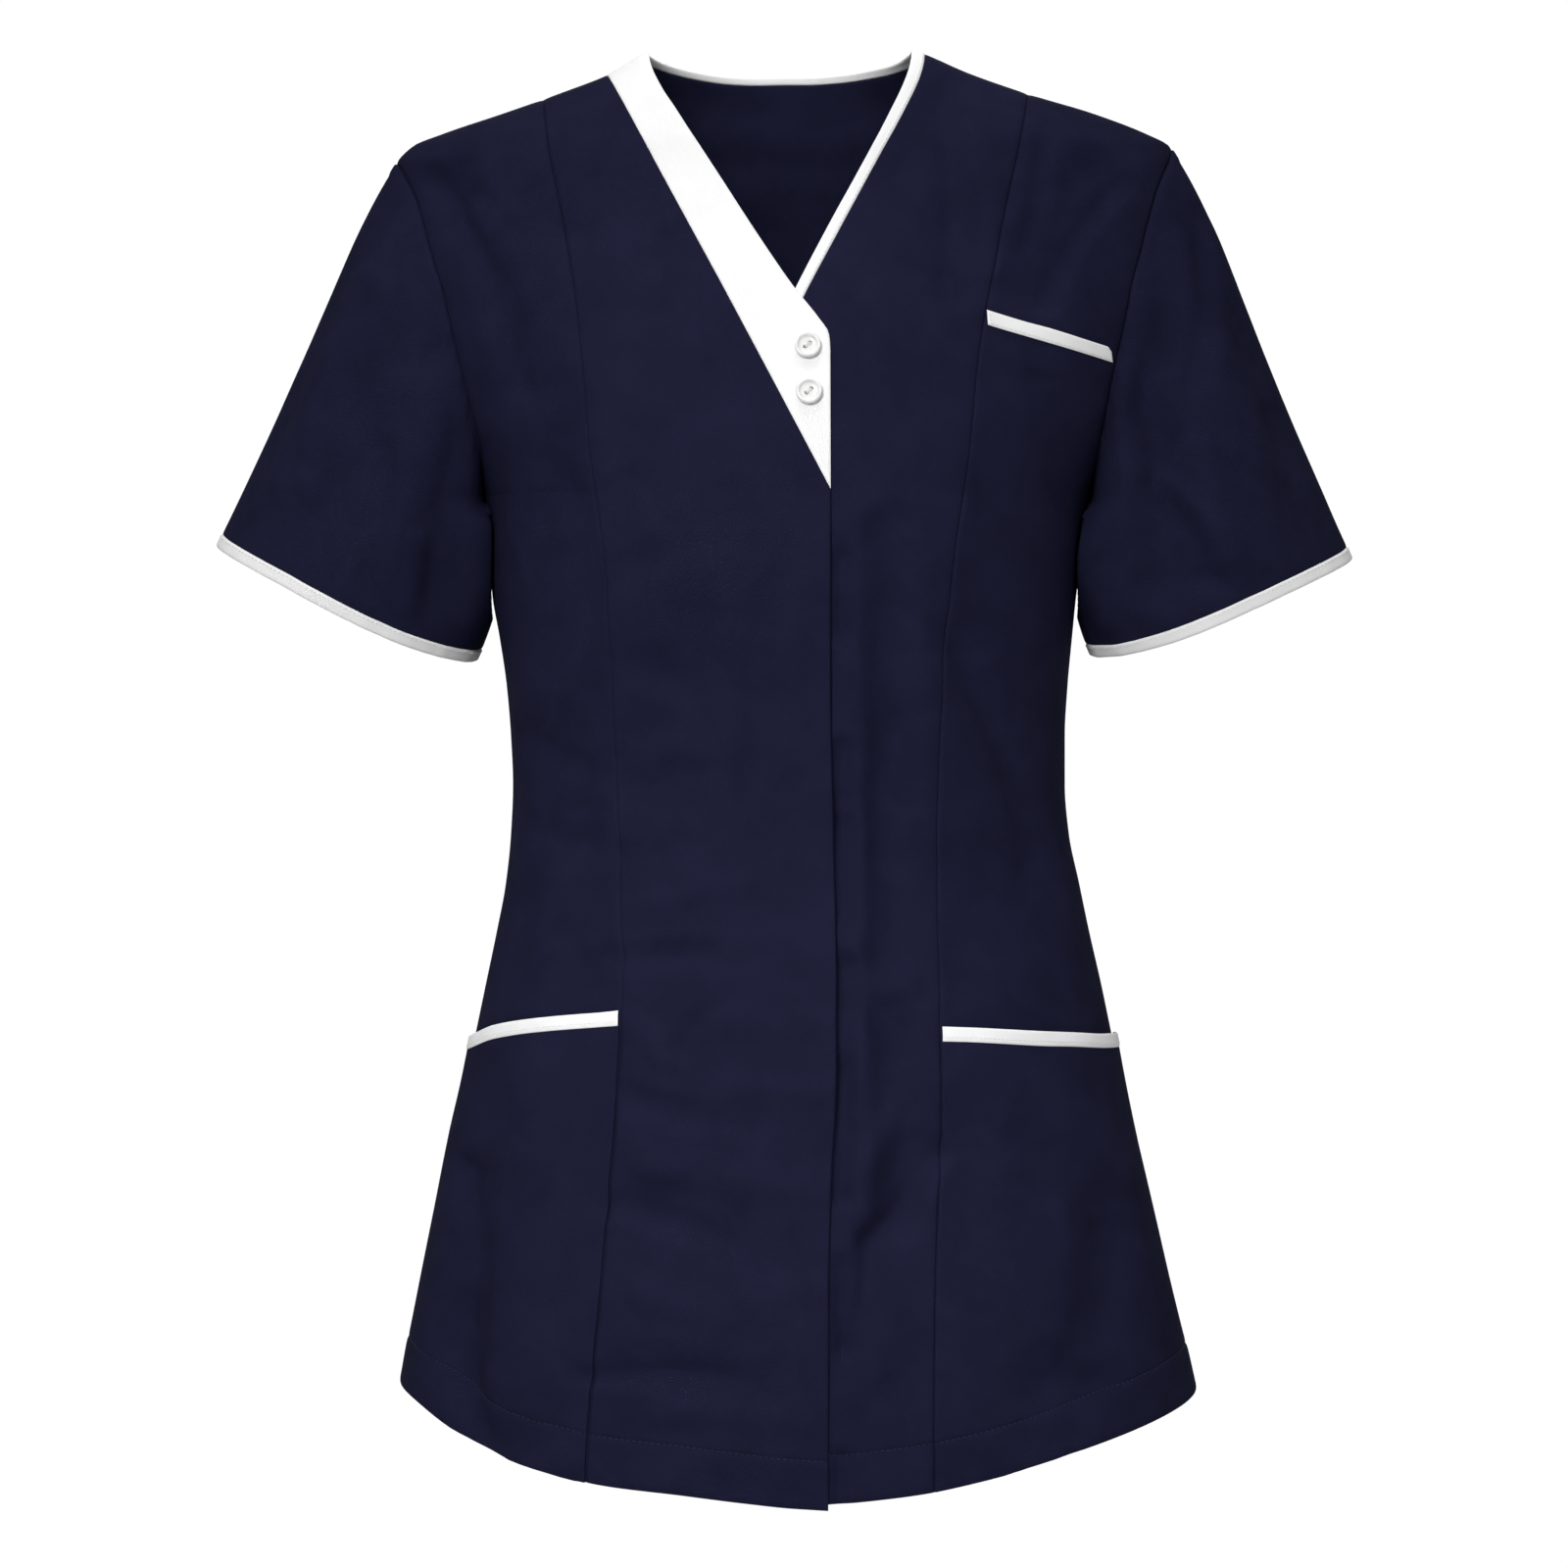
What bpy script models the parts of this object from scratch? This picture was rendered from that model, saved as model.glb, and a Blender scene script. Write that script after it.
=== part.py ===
"""A short-sleeved V-neck tunic top, filled out as it hangs on the shoulders that wear it.

Every length is in millimetres until the last step, which writes metres.
+X is the wearer's left, -Y is the front and +Z is up. The origin lies between the two points
where the shoulder seams meet the neck, which is where the wearer's shoulders carry the top.
The cloth follows one smooth torso form: a panel is a patch of that form between its seams.
"""

import math

import bpy
import numpy as np
from mathutils import Matrix

MM = 0.001

# ---- cloth and sewing -------------------------------------------------------------------------
WALL = 1.2              # navy cloth, one layer
DOUBLE = 1.7            # folded white cloth of the band, bindings and trims
BINDING_PROUD = 0.2     # how far a folded edge stands above the cloth beside it
LEFT_BINDING_PROUD = 0.0    # the same on the left neck edge, which passes below the band
SEAM_GAP = 0.3          # clear distance between two pieces that are sewn together
WELT_GAP = 0.6          # the same below the slanted chest welt, which crosses the facets
LAP_LIFT = 1.9          # the right front lies this far above the left front
LAP_FROM_X = -50.0      # the lift starts here and is full at LAP_FULL_X
LAP_FULL_X = -25.0

# ---- main levels and widths -------------------------------------------------------------------
ARMPIT_Z = -217.0       # armpits, and the level of the pointed end of the neck band
RIGHT_TIP_Z = -53.0     # outer ends of the two shoulder seams
LEFT_TIP_Z = -46.0
UNDERLAP_X = -12.0      # hidden edge of the left front, below the right front
SQUARENESS = 2.3        # exponent of each level section: 2 is an ellipse, more is squarer

FRONT, BACK = -1, 1     # faces of the form, as the sign of y

# ---- grids ------------------------------------------------------------------------------------
UPPER_ROWS = (0.0, 0.02, 0.06, 0.13, 0.24, 0.38, 0.52, 0.66, 0.77, 0.87, 0.95, 1.0)
BODICE_ROWS = 10        # rows from the armpits down to the mouths of the hip pockets
SKIRT_ROWS = 7          # rows from below their trims down to the hem
FRONT_COLUMNS = 6
SIDE_COLUMNS = 6
BACK_COLUMNS = 16
SLEEVE_ROWS = (0.0, 0.06, 0.14, 0.24, 0.36, 0.5, 0.64, 0.78, 0.9, 1.0)


def columns(names, rows):
    """Turn the rows of a table into one array for each named column."""
    values = np.array(rows, dtype=float)
    return {name: values[:, i] for i, name in enumerate(names.split())}


class Curve:
    """A smooth curve through the points of a table, with no overshoot between them."""

    def __init__(self, at, value):
        order = np.argsort(at)
        self.at = np.asarray(at, dtype=float)[order]
        self.value = np.asarray(value, dtype=float)[order]
        rise = np.diff(self.value) / np.diff(self.at)
        product = rise[:-1] * rise[1:]
        total = np.where(product > 0.0, rise[:-1] + rise[1:], 1.0)
        inner = np.where(product > 0.0, 2.0 * product / total, 0.0)
        self.slope = np.concatenate([rise[:1], inner, rise[-1:]])

    def __call__(self, at):
        at = min(max(at, self.at[0]), self.at[-1])
        i = int(np.clip(np.searchsorted(self.at, at) - 1, 0, len(self.at) - 2))
        step = self.at[i + 1] - self.at[i]
        t = (at - self.at[i]) / step
        start = self.value[i] * (1.0 + 2.0 * t) * (1.0 - t) ** 2
        end = self.value[i + 1] * t * t * (3.0 - 2.0 * t)
        leave = self.slope[i] * step * t * (1.0 - t) ** 2
        arrive = self.slope[i + 1] * step * t * t * (t - 1.0)
        return start + end + leave + arrive


# ---- tables of the torso ----------------------------------------------------------------------
# Level sections: half widths to the wearer's right (-X) and left (+X), depths to front and back.
# Above the armpits the half width is that of the form below the sleeve heads.
FORM = columns("z right left front back", [
    (8, 55, 50, 36, 44),
    (2, 67, 62, 41, 48),
    (0, 71, 68, 42, 50),
    (-9.5, 87, 90, 46, 55),
    (-19.3, 112, 118, 50, 60),
    (-29.2, 140, 151, 55, 64),
    (-39, 169, 176.5, 60, 68),
    (-45, 183.5, 187.5, 63, 70),
    (-54, 191, 191, 66, 72),
    (-80, 191.5, 191.5, 76, 80),
    (-120, 187.5, 188, 91, 88),
    (-150, 180, 180, 101, 92),
    (-180, 165.5, 167, 109, 94),
    (-204, 152, 154, 114, 95),
    (-217, 148, 149, 115.5, 95),
    (-240, 146, 145, 118, 94.5),
    (-265, 144, 141.5, 117, 93),
    (-285, 140.5, 139.5, 115, 91),
    (-309, 137, 137.3, 111.5, 88.5),
    (-333, 135, 136, 107.5, 86),
    (-357, 134, 136, 104.5, 85),
    (-381, 135, 138, 103.5, 86),
    (-405, 137.5, 143, 104, 88.5),
    (-429, 142, 148, 106, 92),
    (-453, 147, 153.5, 108.5, 96.5),
    (-477, 152, 158.5, 111, 101),
    (-501, 157.2, 163.4, 113, 105),
    (-529, 164.4, 170, 115.5, 108.5),
    (-563, 171.2, 178, 118, 111.5),
    (-599, 178.4, 186.3, 120, 114),
    (-650, 188.2, 198.6, 123, 117),
    (-715, 199, 212, 126, 120),
])
FORM_CURVES = {name: Curve(FORM["z"], FORM[name]) for name in ("right", "left", "front", "back")}

# Armholes: how far inside the form's half width they run, from shoulder (0) to armpit (1).
ARMHOLE = columns("share front back", [
    (0.00, 0.0, 0.0),
    (0.04, 4.0, 3.0),
    (0.15, 12.5, 9.0),
    (0.30, 18.5, 14.0),
    (0.43, 22.0, 17.0),
    (0.60, 20.0, 16.0),
    (0.79, 11.5, 10.0),
    (0.94, 2.8, 2.8),
    (1.00, 0.0, 0.0),
])
ARMHOLE_CURVES = {name: Curve(ARMHOLE["share"], ARMHOLE[name]) for name in ("front", "back")}

# Princess seams: distance from the centre line at each level.
PRINCESS = columns("z right left", [
    (0, 124, 122),
    (-24, 119, 117),
    (-50, 115, 112),
    (-75, 110, 106.5),
    (-108, 104, 100),
    (-150, 99, 92.3),
    (-202, 94, 87),
    (-244, 88.3, 81),
    (-282, 85.7, 77.3),
    (-330, 83, 74),
    (-384, 81, 72),
    (-450, 79, 73),
    (-510, 81.5, 74),
    (-552, 85, 72.5),
    (-590, 88, 71),
    (-654, 94, 70),
    (-715, 97.5, 70),
])
PRINCESS_CURVES = {name: Curve(PRINCESS["z"], PRINCESS[name]) for name in ("right", "left")}

# Front edge of the right front below the band: it waves a little over the belly.
LAP_EDGE = columns("z x", [
    (-217, 20.6),
    (-302, 20.3),
    (-379, 21.8),
    (-450, 23.2),
    (-495, 23.2),
    (-544, 20.8),
    (-592, 19.5),
    (-715, 19.4),
])

# Neck edge of the left front, where its white binding begins.
LEFT_NECK = columns("z x", [
    (0.4, 67.4),
    (-5.6, 66.7),
    (-10.1, 65.7),
    (-14.3, 64.4),
    (-18.5, 62.8),
    (-30.7, 56.9),
    (-42.7, 50.7),
    (-59.9, 41.4),
    (-89.5, 25.9),
    (-124.1, 7.9),
    (-167, UNDERLAP_X),
])
LEFT_NECK_LAST_ROW = 8      # row of the panels at which that edge turns straight down

# Hem: its level, from the centre line (0) to the side seam (1); each front passes that line.
HEM = columns("share right left", [
    (-0.10, -700.0, -697.6),
    (0.00, -698.7, -697.6),
    (0.10, -696.6, -697.0),
    (0.25, -693.2, -694.4),
    (0.47, -688.6, -686.4),
    (0.67, -680.0, -675.0),
    (0.83, -666.5, -665.0),
    (0.93, -654.0, -657.0),
    (1.00, -645.5, -649.0),
])
HEM_CURVES = {name: Curve(HEM["share"], HEM[name]) for name in ("right", "left")}
HEM_FORM_Z = -680.0     # level at which the share of the hem table is taken
HIP_FORM_Z = -475.0     # about the level of the hip pockets' mouths

# Mouth lines of the hip pockets: their level at each distance from the centre line. The rows of
# every panel follow them, so the pockets are made from the side panels' own points.
HIP_MOUTH = columns("x right left", [
    (0, -462.6, -471.3),
    (60, -463.1, -471.8),
    (79, -464.7, -472.3),
    (119, -468.7, -474.8),
    (139, -472.9, -476.3),
    (153, -480.0, -477.8),
    (160, -483.0, -478.3),
])
HIP_MOUTH_CURVES = {name: Curve(HIP_MOUTH["x"], HIP_MOUTH[name]) for name in ("right", "left")}
HIP_TRIM = 7.0          # width of the white trim below that line

# Largest folds, as soft ridges (+) and troughs (-) along a bowed line seen from the front or back:
# the layer of cloth, ends of the line, sideways bow at its middle, half width and height.
FOLD_NAMES = "layer x0 z0 x1 z1 bow half_width height"
FOLDS = [
    dict(zip(FOLD_NAMES.split(), row)) for row in (
        ("right", -163, -68, -125, -165, 8, 24, -3.0),
        ("right", -118, -330, -98, -385, 3, 24, -2.5),
        ("right", -152, -545, -160, -640, 5, 22, -4.0),
        ("right", -124, -500, -128, -650, 0, 26, 3.0),
        ("right", -80, -632, -30, -638, 2, 18, -2.5),
        ("right", -72, -552, -42, -562, 0, 18, -2.0),
        ("left", 74, -30, 80, -118, 3, 20, -3.0),
        ("left", 148, -62, 118, -120, -4, 24, -2.5),
        ("left", 84, -290, 124, -395, 4, 26, -3.5),
        ("left", 34, -235, 36, -300, 0, 20, -2.5),
        ("left", 33, -345, 36, -440, 2, 20, -3.5),
        ("left", 36, -485, 34, -560, 2, 20, -3.5),
        ("left", 64, -530, 34, -625, -6, 22, -4.0),
        ("left", 152, -560, 130, -640, 8, 24, -3.5),
        ("back", -60, -325, -118, -368, 4, 24, -3.5),
        ("back", 52, -318, 116, -362, -4, 24, -3.5),
        ("back", -30, -372, 70, -382, 4, 20, -3.0),
        ("back", -118, -470, -132, -640, 6, 26, -4.0),
        ("back", 96, -455, 118, -640, -6, 26, -4.0),
        ("back", -6, -520, 4, -660, 5, 30, 3.5),
        ("back", -148, -120, -112, -205, 6, 24, -3.0),
        ("back", 146, -120, 108, -200, -6, 24, -3.0),
    )
]

# Folds of the sleeves along their length: place round the tube (0 top, 1 underside), ends along
# it, half width round the tube and height.
SLEEVE_FOLD_NAMES = "side face round start end half_width height"
SLEEVE_FOLDS = [
    dict(zip(SLEEVE_FOLD_NAMES.split(), row)) for row in (
        (-1, FRONT, 0.20, 0.10, 1.00, 0.10, 3.0),
        (-1, FRONT, 0.36, 0.30, 0.95, 0.09, -4.0),
        (-1, FRONT, 0.56, 0.20, 1.00, 0.11, 3.5),
        (-1, BACK, 0.34, 0.15, 0.90, 0.12, -4.0),
        (-1, BACK, 0.60, 0.30, 1.00, 0.12, 3.0),
        (1, FRONT, 0.26, 0.15, 0.70, 0.10, 3.0),
        (1, FRONT, 0.55, 0.20, 0.85, 0.14, -5.0),
        (1, FRONT, 0.78, 0.55, 1.00, 0.10, 3.0),
        (1, BACK, 0.30, 0.10, 0.85, 0.12, -4.0),
        (1, BACK, 0.58, 0.30, 1.00, 0.12, 3.0),
    )
]


# ---- torso form -------------------------------------------------------------------------------
def half_width(x, z):
    """Half width of the form at level z, on the side where x lies."""
    return FORM_CURVES["left" if x > 0.0 else "right"](z)


def torso_point(angle, z):
    """Point of the form at an angle from +X, counted towards the back."""
    c = math.cos(angle)
    s = math.sin(angle)
    reach = (abs(c) ** SQUARENESS + abs(s) ** SQUARENESS) ** (1.0 / SQUARENESS)
    depth = FORM_CURVES["back" if s > 0.0 else "front"](z)
    return np.array([half_width(c, z) * c / reach, depth * s / reach, z])


def torso_normal(angle, z):
    """Outward direction of the form at an angle and level."""
    turn = 0.01
    rise = 0.5
    across = torso_point(angle + turn, z) - torso_point(angle - turn, z)
    up = torso_point(angle, z + rise) - torso_point(angle, z - rise)
    normal = np.cross(across, up)
    return normal / np.linalg.norm(normal)


def angle_at(x, z, face):
    """Angle of the point of the form that is seen at (x, z) on its front or back face."""
    share = min(abs(x) / half_width(x, z), 1.0)
    if share < 1e-6:
        turn = math.pi / 2.0
    else:
        turn = math.atan((share ** -SQUARENESS - 1.0) ** (1.0 / SQUARENESS))
    return face * (turn if x > 0.0 else math.pi - turn)


def shoulder_z(x):
    """Level of the shoulder seam at distance x from the centre."""
    low, high = -60.0, 8.0
    for _ in range(40):
        middle = 0.5 * (low + high)
        if half_width(x, middle) > abs(x):
            low = middle
        else:
            high = middle
    return 0.5 * (low + high)


def smooth_step(value):
    """Soft change from 0 to 1."""
    t = min(max(value, 0.0), 1.0)
    return t * t * (3.0 - 2.0 * t)


def bump(distance, half):
    """Soft bump that is 1 on its line and 0 at its half width."""
    t = min(distance / half, 1.0)
    return (1.0 - t * t) ** 2


def distance_to_bow(x, z, fold):
    """Distance in view from (x, z) to the bowed line of a fold."""
    start = np.array([fold["x0"], fold["z0"]], dtype=float)
    end = np.array([fold["x1"], fold["z1"]], dtype=float)
    along = end - start
    length = np.linalg.norm(along)
    side = np.array([-along[1], along[0]]) / length
    spot = np.array([x, z], dtype=float) - start
    t = min(max(float(spot @ along) / length ** 2, 0.0), 1.0)
    nearest = along * t + side * fold["bow"] * 4.0 * t * (1.0 - t)
    return float(np.linalg.norm(spot - nearest))


def lap_share(x):
    """How far the right front has risen off the form to cross the left front, from 0 to 1."""
    return smooth_step((x - LAP_FROM_X) / (LAP_FULL_X - LAP_FROM_X))


def fold_height(x, z, layer):
    """Height of the cloth above the plain form, from every fold that reaches (x, z)."""
    height = 0.0
    for fold in FOLDS:
        if fold["layer"] == layer:
            height += fold["height"] * bump(distance_to_bow(x, z, fold), fold["half_width"])
    height *= smooth_step((half_width(x, z) - abs(x)) / 12.0)
    if layer == "right":
        return height * (1.0 - lap_share(x))
    return height


class Patch:
    """Rows of points on the cloth's outer face, with their outward directions."""

    def __init__(self, rows):
        self.points = np.array([[spot[0] for spot in row] for row in rows])
        self.normals = np.array([[spot[1] for spot in row] for row in rows])

    def at(self, row, column):
        """Point and direction between the patch's own points, on its triangles."""
        last_row = self.points.shape[0] - 2
        last_column = self.points.shape[1] - 2
        i = int(min(max(math.floor(row), 0), last_row))
        j = int(min(max(math.floor(column), 0), last_column))
        a = row - i
        b = column - j
        found = []
        for grid in (self.points, self.normals):
            near, far = grid[i, j], grid[i + 1, j + 1]
            if a >= b:
                found.append(near + (grid[i + 1, j] - near) * a + (far - grid[i + 1, j]) * b)
            else:
                found.append(near + (grid[i, j + 1] - near) * b + (far - grid[i, j + 1]) * a)
        return found[0], found[1] / np.linalg.norm(found[1])

    def rows(self, first, last):
        """The part of the patch between two rows."""
        part = Patch([])
        part.points = self.points[first:last]
        part.normals = self.normals[first:last]
        return part

    def locate(self, x, z):
        """Row and column of the place that is seen at (x, z)."""
        row_count, column_count = self.points.shape[:2]
        row = row_count / 2.0
        column = column_count / 2.0
        numbers = np.arange(column_count)
        for _ in range(12):
            heights = [self.at(i, column)[0][2] for i in range(row_count)]
            row = float(np.interp(-z, [-h for h in heights], np.arange(row_count)))
            across = [self.at(row, j)[0][0] for j in numbers]
            column = float(np.interp(x, across, numbers))
        return row, column


def torso_spot(angle, z, layer):
    """Point of the cloth of one layer and its outward direction."""
    point = torso_point(angle, z)
    normal = torso_normal(angle, z)
    height = fold_height(point[0], z, layer)
    if layer == "right":
        height += LAP_LIFT * lap_share(point[0])
    return point + normal * height, normal


# ---- seams and edges, each as a distance from the centre line at a level -----------------------
def armhole_x(side, face, z):
    """Armhole edge of one side, above the armpit."""
    tip = LEFT_TIP_Z if side > 0 else RIGHT_TIP_Z
    share = (z - tip) / (ARMPIT_Z - tip)
    inset = ARMHOLE_CURVES["front" if face == FRONT else "back"](share)
    return side * (half_width(side, z) - inset)


def side_x(side, face):
    """Outer edge of a panel: its armhole, then its side seam."""
    def edge(z):
        if z > ARMPIT_Z:
            return armhole_x(side, face, z)
        return side * half_width(side, z)
    return edge


def princess_x(side):
    """Seam between a front or the back and the side panel beside it."""
    curve = PRINCESS_CURVES["left" if side > 0 else "right"]
    return lambda z: side * curve(z)


BAND_TOP_X = -88.0


def right_front_edge():
    """Inner edge of the right front: along the neck band, then straight down the front."""
    corner = float(LAP_EDGE["x"][0])
    top = shoulder_z(BAND_TOP_X)
    below = Curve(LAP_EDGE["z"], LAP_EDGE["x"])

    def edge(z):
        if z < ARMPIT_Z:
            return below(z)
        share = (z - top) / (ARMPIT_Z - top)
        return BAND_TOP_X + (corner - BAND_TOP_X) * share
    return edge


def left_front_edge():
    """Inner edge of the left front: along the neck binding, then down below the right front."""
    neck = Curve(LEFT_NECK["z"], LEFT_NECK["x"])
    return lambda z: neck(z) if z > LEFT_NECK["z"][-1] else UNDERLAP_X


def hem_z(x, layer):
    """Level of the hem: each front has its own, and the back passes from one to the other."""
    half = half_width(x, HEM_FORM_Z)
    if layer == "right":
        return HEM_CURVES["right"](-x / half)
    if layer == "left":
        return HEM_CURVES["left"](x / half)
    right = HEM_CURVES["right"](abs(x) / half)
    left = HEM_CURVES["left"](abs(x) / half)
    weight = 0.5 + 0.5 * min(max(x / half, -1.0), 1.0)
    return right * (1.0 - weight) + left * weight


def hip_mouth_z(x, layer):
    """Level of the mouth line of the hip pockets; on the back it passes from side to side."""
    right = HIP_MOUTH_CURVES["right"](abs(x))
    left = HIP_MOUTH_CURVES["left"](abs(x))
    if layer == "right":
        return right
    if layer == "left":
        return left
    half = half_width(x, HIP_FORM_Z)
    weight = 0.5 + 0.5 * min(max(x / half, -1.0), 1.0)
    return right * (1.0 - weight) + left * weight


# ---- patches ----------------------------------------------------------------------------------
def shoulder_top(start, end, count):
    """Top edge of a panel, along the shoulder seam."""
    return [(x, shoulder_z(x)) for x in np.linspace(start, end, count + 1)]


BACK_NECK_LEFT = 67.4       # where the back neck binding's lower edge meets the shoulder seams
BACK_NECK_RIGHT = -72.0
BACK_NECK_DROP = 9.1
BACK_NECK_ROUND = 2.6       # exponent of the neck curve: 2 is a parabola, more is flatter
BACK_NECK_COLUMNS = 10
# Places of the back's columns along its neck edge, closer together at the shoulders.
BACK_NECK_SHARES = [0.5 - 0.5 * math.cos(math.pi * i / BACK_NECK_COLUMNS)
                    for i in range(BACK_NECK_COLUMNS + 1)]


def neck_curve(start, end, drop, share):
    """A round back neck edge between two points of the shoulder seams."""
    x = start + (end - start) * share
    across = abs(2.0 * share - 1.0)
    level = shoulder_z(start) * (1.0 - share) + shoulder_z(end) * share
    return x, level - drop * (1.0 - across ** BACK_NECK_ROUND)


def back_top(start, end, count):
    """Top edge of the back: shoulder seam, neck and shoulder seam."""
    shoulder_count = (count - BACK_NECK_COLUMNS) // 2
    neck = [neck_curve(BACK_NECK_RIGHT, BACK_NECK_LEFT, BACK_NECK_DROP, share)
            for share in BACK_NECK_SHARES]
    return (shoulder_top(start, BACK_NECK_RIGHT, shoulder_count)[:-1] + neck
            + shoulder_top(BACK_NECK_LEFT, end, shoulder_count)[1:])


def panel(face, start_edge, end_edge, top, layer):
    """Patch between two edges, from a top edge down to the hem."""
    count = len(top) - 1
    shares = [j / count for j in range(count + 1)]
    start_angle = angle_at(start_edge(ARMPIT_Z), ARMPIT_Z, face)
    end_angle = angle_at(end_edge(ARMPIT_Z), ARMPIT_Z, face)
    level = [torso_point(start_angle + (end_angle - start_angle) * u, ARMPIT_Z)[0] for u in shares]
    rows = [[torso_spot(angle_at(x, z, face), z, layer) for x, z in top]]
    for row_share in UPPER_ROWS[1:-1]:
        heights = [z * (1.0 - row_share) + ARMPIT_Z * row_share for x, z in top]
        start_shift = start_edge(heights[0]) - _mix(top[0][0], level[0], row_share)
        end_shift = end_edge(heights[-1]) - _mix(top[-1][0], level[-1], row_share)
        row = []
        for j, u in enumerate(shares):
            x = _mix(top[j][0], level[j], row_share) + _mix(start_shift, end_shift, u)
            row.append(torso_spot(angle_at(x, heights[j], face), heights[j], layer))
        rows.append(row)
    lower = [lower_column(face, start_edge, end_edge, u, layer) for u in shares]
    rows += [list(row) for row in zip(*lower)]
    return Patch(rows)


def _mix(a, b, share):
    return a * (1.0 - share) + b * share


def lower_column(face, start_edge, end_edge, share, layer):
    """Spots down one column of a panel, from the armpits by the hip mouth line to the hem."""
    def angle(z):
        start = angle_at(start_edge(z), z, face)
        return _mix(start, angle_at(end_edge(z), z, face), share)

    def settle(z, level_at):
        for _ in range(5):
            z = level_at(torso_point(angle(z), z)[0], layer)
        return z

    mouth = settle(HIP_FORM_Z, hip_mouth_z)
    hem = settle(HEM_FORM_Z, hem_z)
    levels = [*np.linspace(ARMPIT_Z, mouth, BODICE_ROWS + 1),
              *np.linspace(mouth - HIP_TRIM, hem, SKIRT_ROWS + 1)]
    return [torso_spot(angle(z), z, layer) for z in levels]


def line_patch(spot, first, second, row_shares, column_count, shoulder_rows):
    """Narrow patch between two lines of view points, each given by a share along it.

    The rows whose shares are listed as shoulder rows follow the shoulder seam.
    """
    rows = []
    for row_share in row_shares:
        a = first(row_share)
        b = second(row_share)
        row = []
        for j in range(column_count + 1):
            u = j / column_count
            x = _mix(a[0], b[0], u)
            z = shoulder_z(x) if row_share in shoulder_rows else _mix(a[1], b[1], u)
            row.append(spot(x, z))
        rows.append(row)
    return Patch(rows)


def path(points):
    """View line through a few points, by the share of its length."""
    points = np.array(points, dtype=float)
    lengths = np.concatenate([[0.0], np.cumsum(np.linalg.norm(np.diff(points, axis=0), axis=1))])
    shares = lengths / lengths[-1]
    across = Curve(shares, points[:, 0])
    rise = Curve(shares, points[:, 1])
    return lambda share: (across(share), rise(share))


# ---- solids -----------------------------------------------------------------------------------
def pull_back(points, sides, distance):
    """Draw the named sides of a grid back from their seams, along the cloth."""
    moved = points.copy()
    pairs = {
        "top": ((0, slice(None)), (1, slice(None))),
        "bottom": ((-1, slice(None)), (-2, slice(None))),
        "start": ((slice(None), 0), (slice(None), 1)),
        "end": ((slice(None), -1), (slice(None), -2)),
    }
    for name in sides:
        edge, inside = pairs[name]
        inward = points[inside] - points[edge]
        length = np.linalg.norm(inward, axis=-1, keepdims=True)
        moved[edge] = moved[edge] + inward / np.maximum(length, 1e-6) * distance
    return moved


def layer_of(patch, sides, lift=0.0, wall=WALL, rims=None):
    """Outer and inner points of a cloth layer on a patch."""
    outer = patch.points + patch.normals * lift
    thickness = patch.normals * -wall
    for edge, vectors in (rims or {}).items():
        thickness[:, 0 if edge == "start" else -1] = vectors * wall
    inner = outer + thickness
    distance = SEAM_GAP / 2.0
    return pull_back(outer, sides, distance), pull_back(inner, sides, distance)


def shell_faces(rows, count, closed):
    """Triangles of a thin closed body over a grid: outer face, inner face and rims.

    Every grid is cut along the same diagonal, so layers that lie on each other stay parallel.
    """
    across = count if closed else count - 1
    back = rows * count

    def index(i, j):
        return i * count + j % count

    rims = [(index(0, j + 1), index(0, j)) for j in range(across)]
    rims += [(index(rows - 1, j), index(rows - 1, j + 1)) for j in range(across)]
    if not closed:
        rims += [(index(i, 0), index(i + 1, 0)) for i in range(rows - 1)]
        rims += [(index(i + 1, count - 1), index(i, count - 1)) for i in range(rows - 1)]
    faces = []
    for i in range(rows - 1):
        for j in range(across):
            near, far = index(i, j), index(i + 1, j + 1)
            for face in ((near, index(i + 1, j), far), (near, far, index(i, j + 1))):
                faces.append(face)
                faces.append(tuple(back + v for v in reversed(face)))
    for a, b in rims:
        faces.append((a, back + a, back + b))
        faces.append((a, back + b, b))
    return faces


def add_solid(name, outer, inner, material, closed=False):
    """Make the object of one cloth piece."""
    rows, count = outer.shape[:2]
    vertices = np.concatenate([outer.reshape(-1, 3), inner.reshape(-1, 3)]) * MM
    faces = shell_faces(rows, count, closed)
    return add_mesh(name, vertices, faces, material)


def signed_volume(vertices, faces):
    """Volume inside the faces, negative where they point inwards."""
    total = 0.0
    for face in faces:
        a = vertices[face[0]]
        for i in range(1, len(face) - 1):
            total += float(np.dot(a, np.cross(vertices[face[i]], vertices[face[i + 1]])))
    return total / 6.0


def add_mesh(name, vertices, faces, material):
    """Make an object with outward faces, smooth except at its sharp edges."""
    vertices = np.asarray(vertices, dtype=float)
    if signed_volume(vertices, faces) < 0.0:
        faces = [tuple(reversed(face)) for face in faces]
    mesh = bpy.data.meshes.new(name)
    mesh.from_pydata([tuple(v) for v in vertices], [], faces)
    mesh.update()
    mesh.shade_smooth()
    mesh.set_sharp_from_angle(angle=math.radians(40.0))
    mesh.materials.append(material)
    piece = bpy.data.objects.new(name, mesh)
    bpy.context.scene.collection.objects.link(piece)
    return piece


def make_material(name, color, roughness):
    """Plain dielectric material."""
    material = bpy.data.materials.new(name)
    material.use_nodes = True
    shader = material.node_tree.nodes["Principled BSDF"]
    shader.inputs["Base Color"].default_value = (*color, 1.0)
    shader.inputs["Roughness"].default_value = roughness
    shader.inputs["Metallic"].default_value = 0.0
    material.diffuse_color = (*color, 1.0)
    return material


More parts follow.
